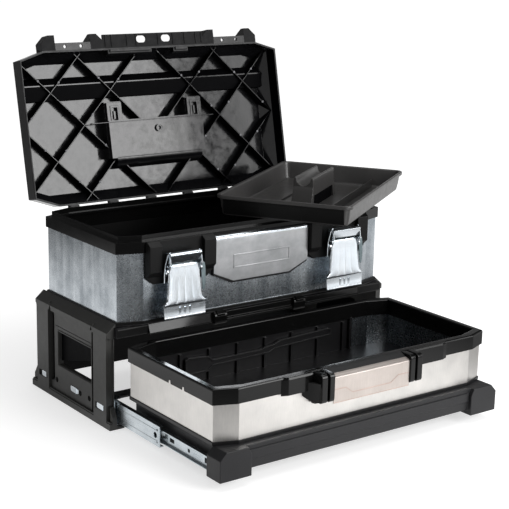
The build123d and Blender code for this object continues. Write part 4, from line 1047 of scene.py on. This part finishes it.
def floor():
    """White paper, which keeps the object's shadow; its glow fades towards the object, a painted shade round
    it. In reflections it is dark at its front left, on its right and far out on its left, and round the
    object's own foot a painted shadow darkens it."""
    bm = bmesh.new()
    bmesh.ops.create_grid(bm, x_segments=1, y_segments=1, size=12)
    mesh = as_mesh(bm, "floor")
    material, tree, place = new_material("white_paper_sweep")
    ray = add(tree, "LightPath").outputs
    spot = add(tree, "SeparateXYZ", {"Vector": place}).outputs
    reach = add(tree, "VectorMath", {0: place}, operation="LENGTH").outputs["Value"]
    # Each ramp runs between two places, in metres, from one level to another
    ramps = {}
    for name, along, start, end, first, last in (
            ("left", spot["X"], -0.02, -0.2, 0, 1), ("ahead", spot["Y"], -0.3, -0.8, 0, 0.95),
            ("right", spot["X"], 0.32, 0.56, 0, 0.78), ("not_far_right", spot["X"], 0.8, 1.05, 1, 0.4),
            ("well_left", spot["X"], -0.3, -0.5, 0, 0.94), ("far_out", reach, 0.8, 1.35, 0, 1),
            ("foot_painted_shade", reach, 0.36, 0.5, 0.5, 0), ("behind", spot["Y"], -0.06, 0.04, 0, 1),
            ("glow", reach, 0.4, 1.3, 0.6, 0.82)):
        ramps[name] = add(tree, "MapRange", {
            "Value": along, "From Min": start, "From Max": end, "To Min": first, "To Max": last})
    dark = 0.0
    for one, other in (("left", "ahead"), ("right", "not_far_right"), ("well_left", "far_out"),
                       ("foot_painted_shade", "behind")):
        patch = add(tree, "Math", {0: ramps[one], 1: ramps[other]}, operation="MULTIPLY")
        dark = add(tree, "Math", {0: patch, 1: dark}, operation="MAXIMUM")
    shade = add(tree, "Math", {0: ray["Is Glossy Ray"], 1: dark}, operation="MULTIPLY")
    paper = add(tree, "BsdfDiffuse", {"Color": linear("#cfcfcf")})
    # The glow is lower near the object: painted shade round its foot, seen directly and in reflections
    lift = add(tree, "Emission", {"Color": linear("#ffffff"), "Strength": ramps["glow"]})
    glow = add(tree, "AddShader", {0: paper, 1: lift})
    lit = add(tree, "MixShader", {0: ray["Is Diffuse Ray"], 1: glow, 2: paper})
    black = add(tree, "BsdfDiffuse", {"Color": linear("#161616")})
    ground = add(tree, "MixShader", {0: shade, 1: lit, 2: black})
    add(tree, "OutputMaterial", {"Surface": ground})
    mesh.materials.append(material)
    linked(mesh, "floor")


def camera():
    """At the photograph's place: a long lens with a slight roll."""
    place = Vector((-1.2392, -1.7950, 0.7598))
    target = Vector((0.026756, -0.08063, 0.227325))
    roll = radians(1.247)
    focal_px, picture_px, sensor_mm = 1348.19, 509, 36
    ahead = (target - place).normalized()
    right = ahead.cross(Vector((0, 0, 1))).normalized()
    up = right.cross(ahead)
    lens = bpy.data.cameras.new("camera")
    lens.sensor_width = sensor_mm
    lens.lens = focal_px / picture_px * sensor_mm
    lens.clip_end = 50
    eye = linked(lens, "camera")
    turn = Matrix((right * cos(roll) + up * sin(roll), up * cos(roll) - right * sin(roll), -ahead))
    eye.matrix_world = Matrix.Translation(place) @ turn.transposed().to_4x4()
    bpy.context.scene.camera = eye


studio_world()
floor()
softbox("key_front_right", (0.77, -2.15, 1.05), (0, 0.1, 0.4), 1.44, 1.0, 36)
softbox("fill_right", (2.1, -1.75, 1.0), (0, 0.1, 0.4), 0.9, 1.0, 9)
softbox("overhead", (0.45, -0.2, 2.4), (0, 0, 0.2), 2.2, 1.8, 26)
camera()
bpy.context.scene.view_settings.view_transform = "Standard"
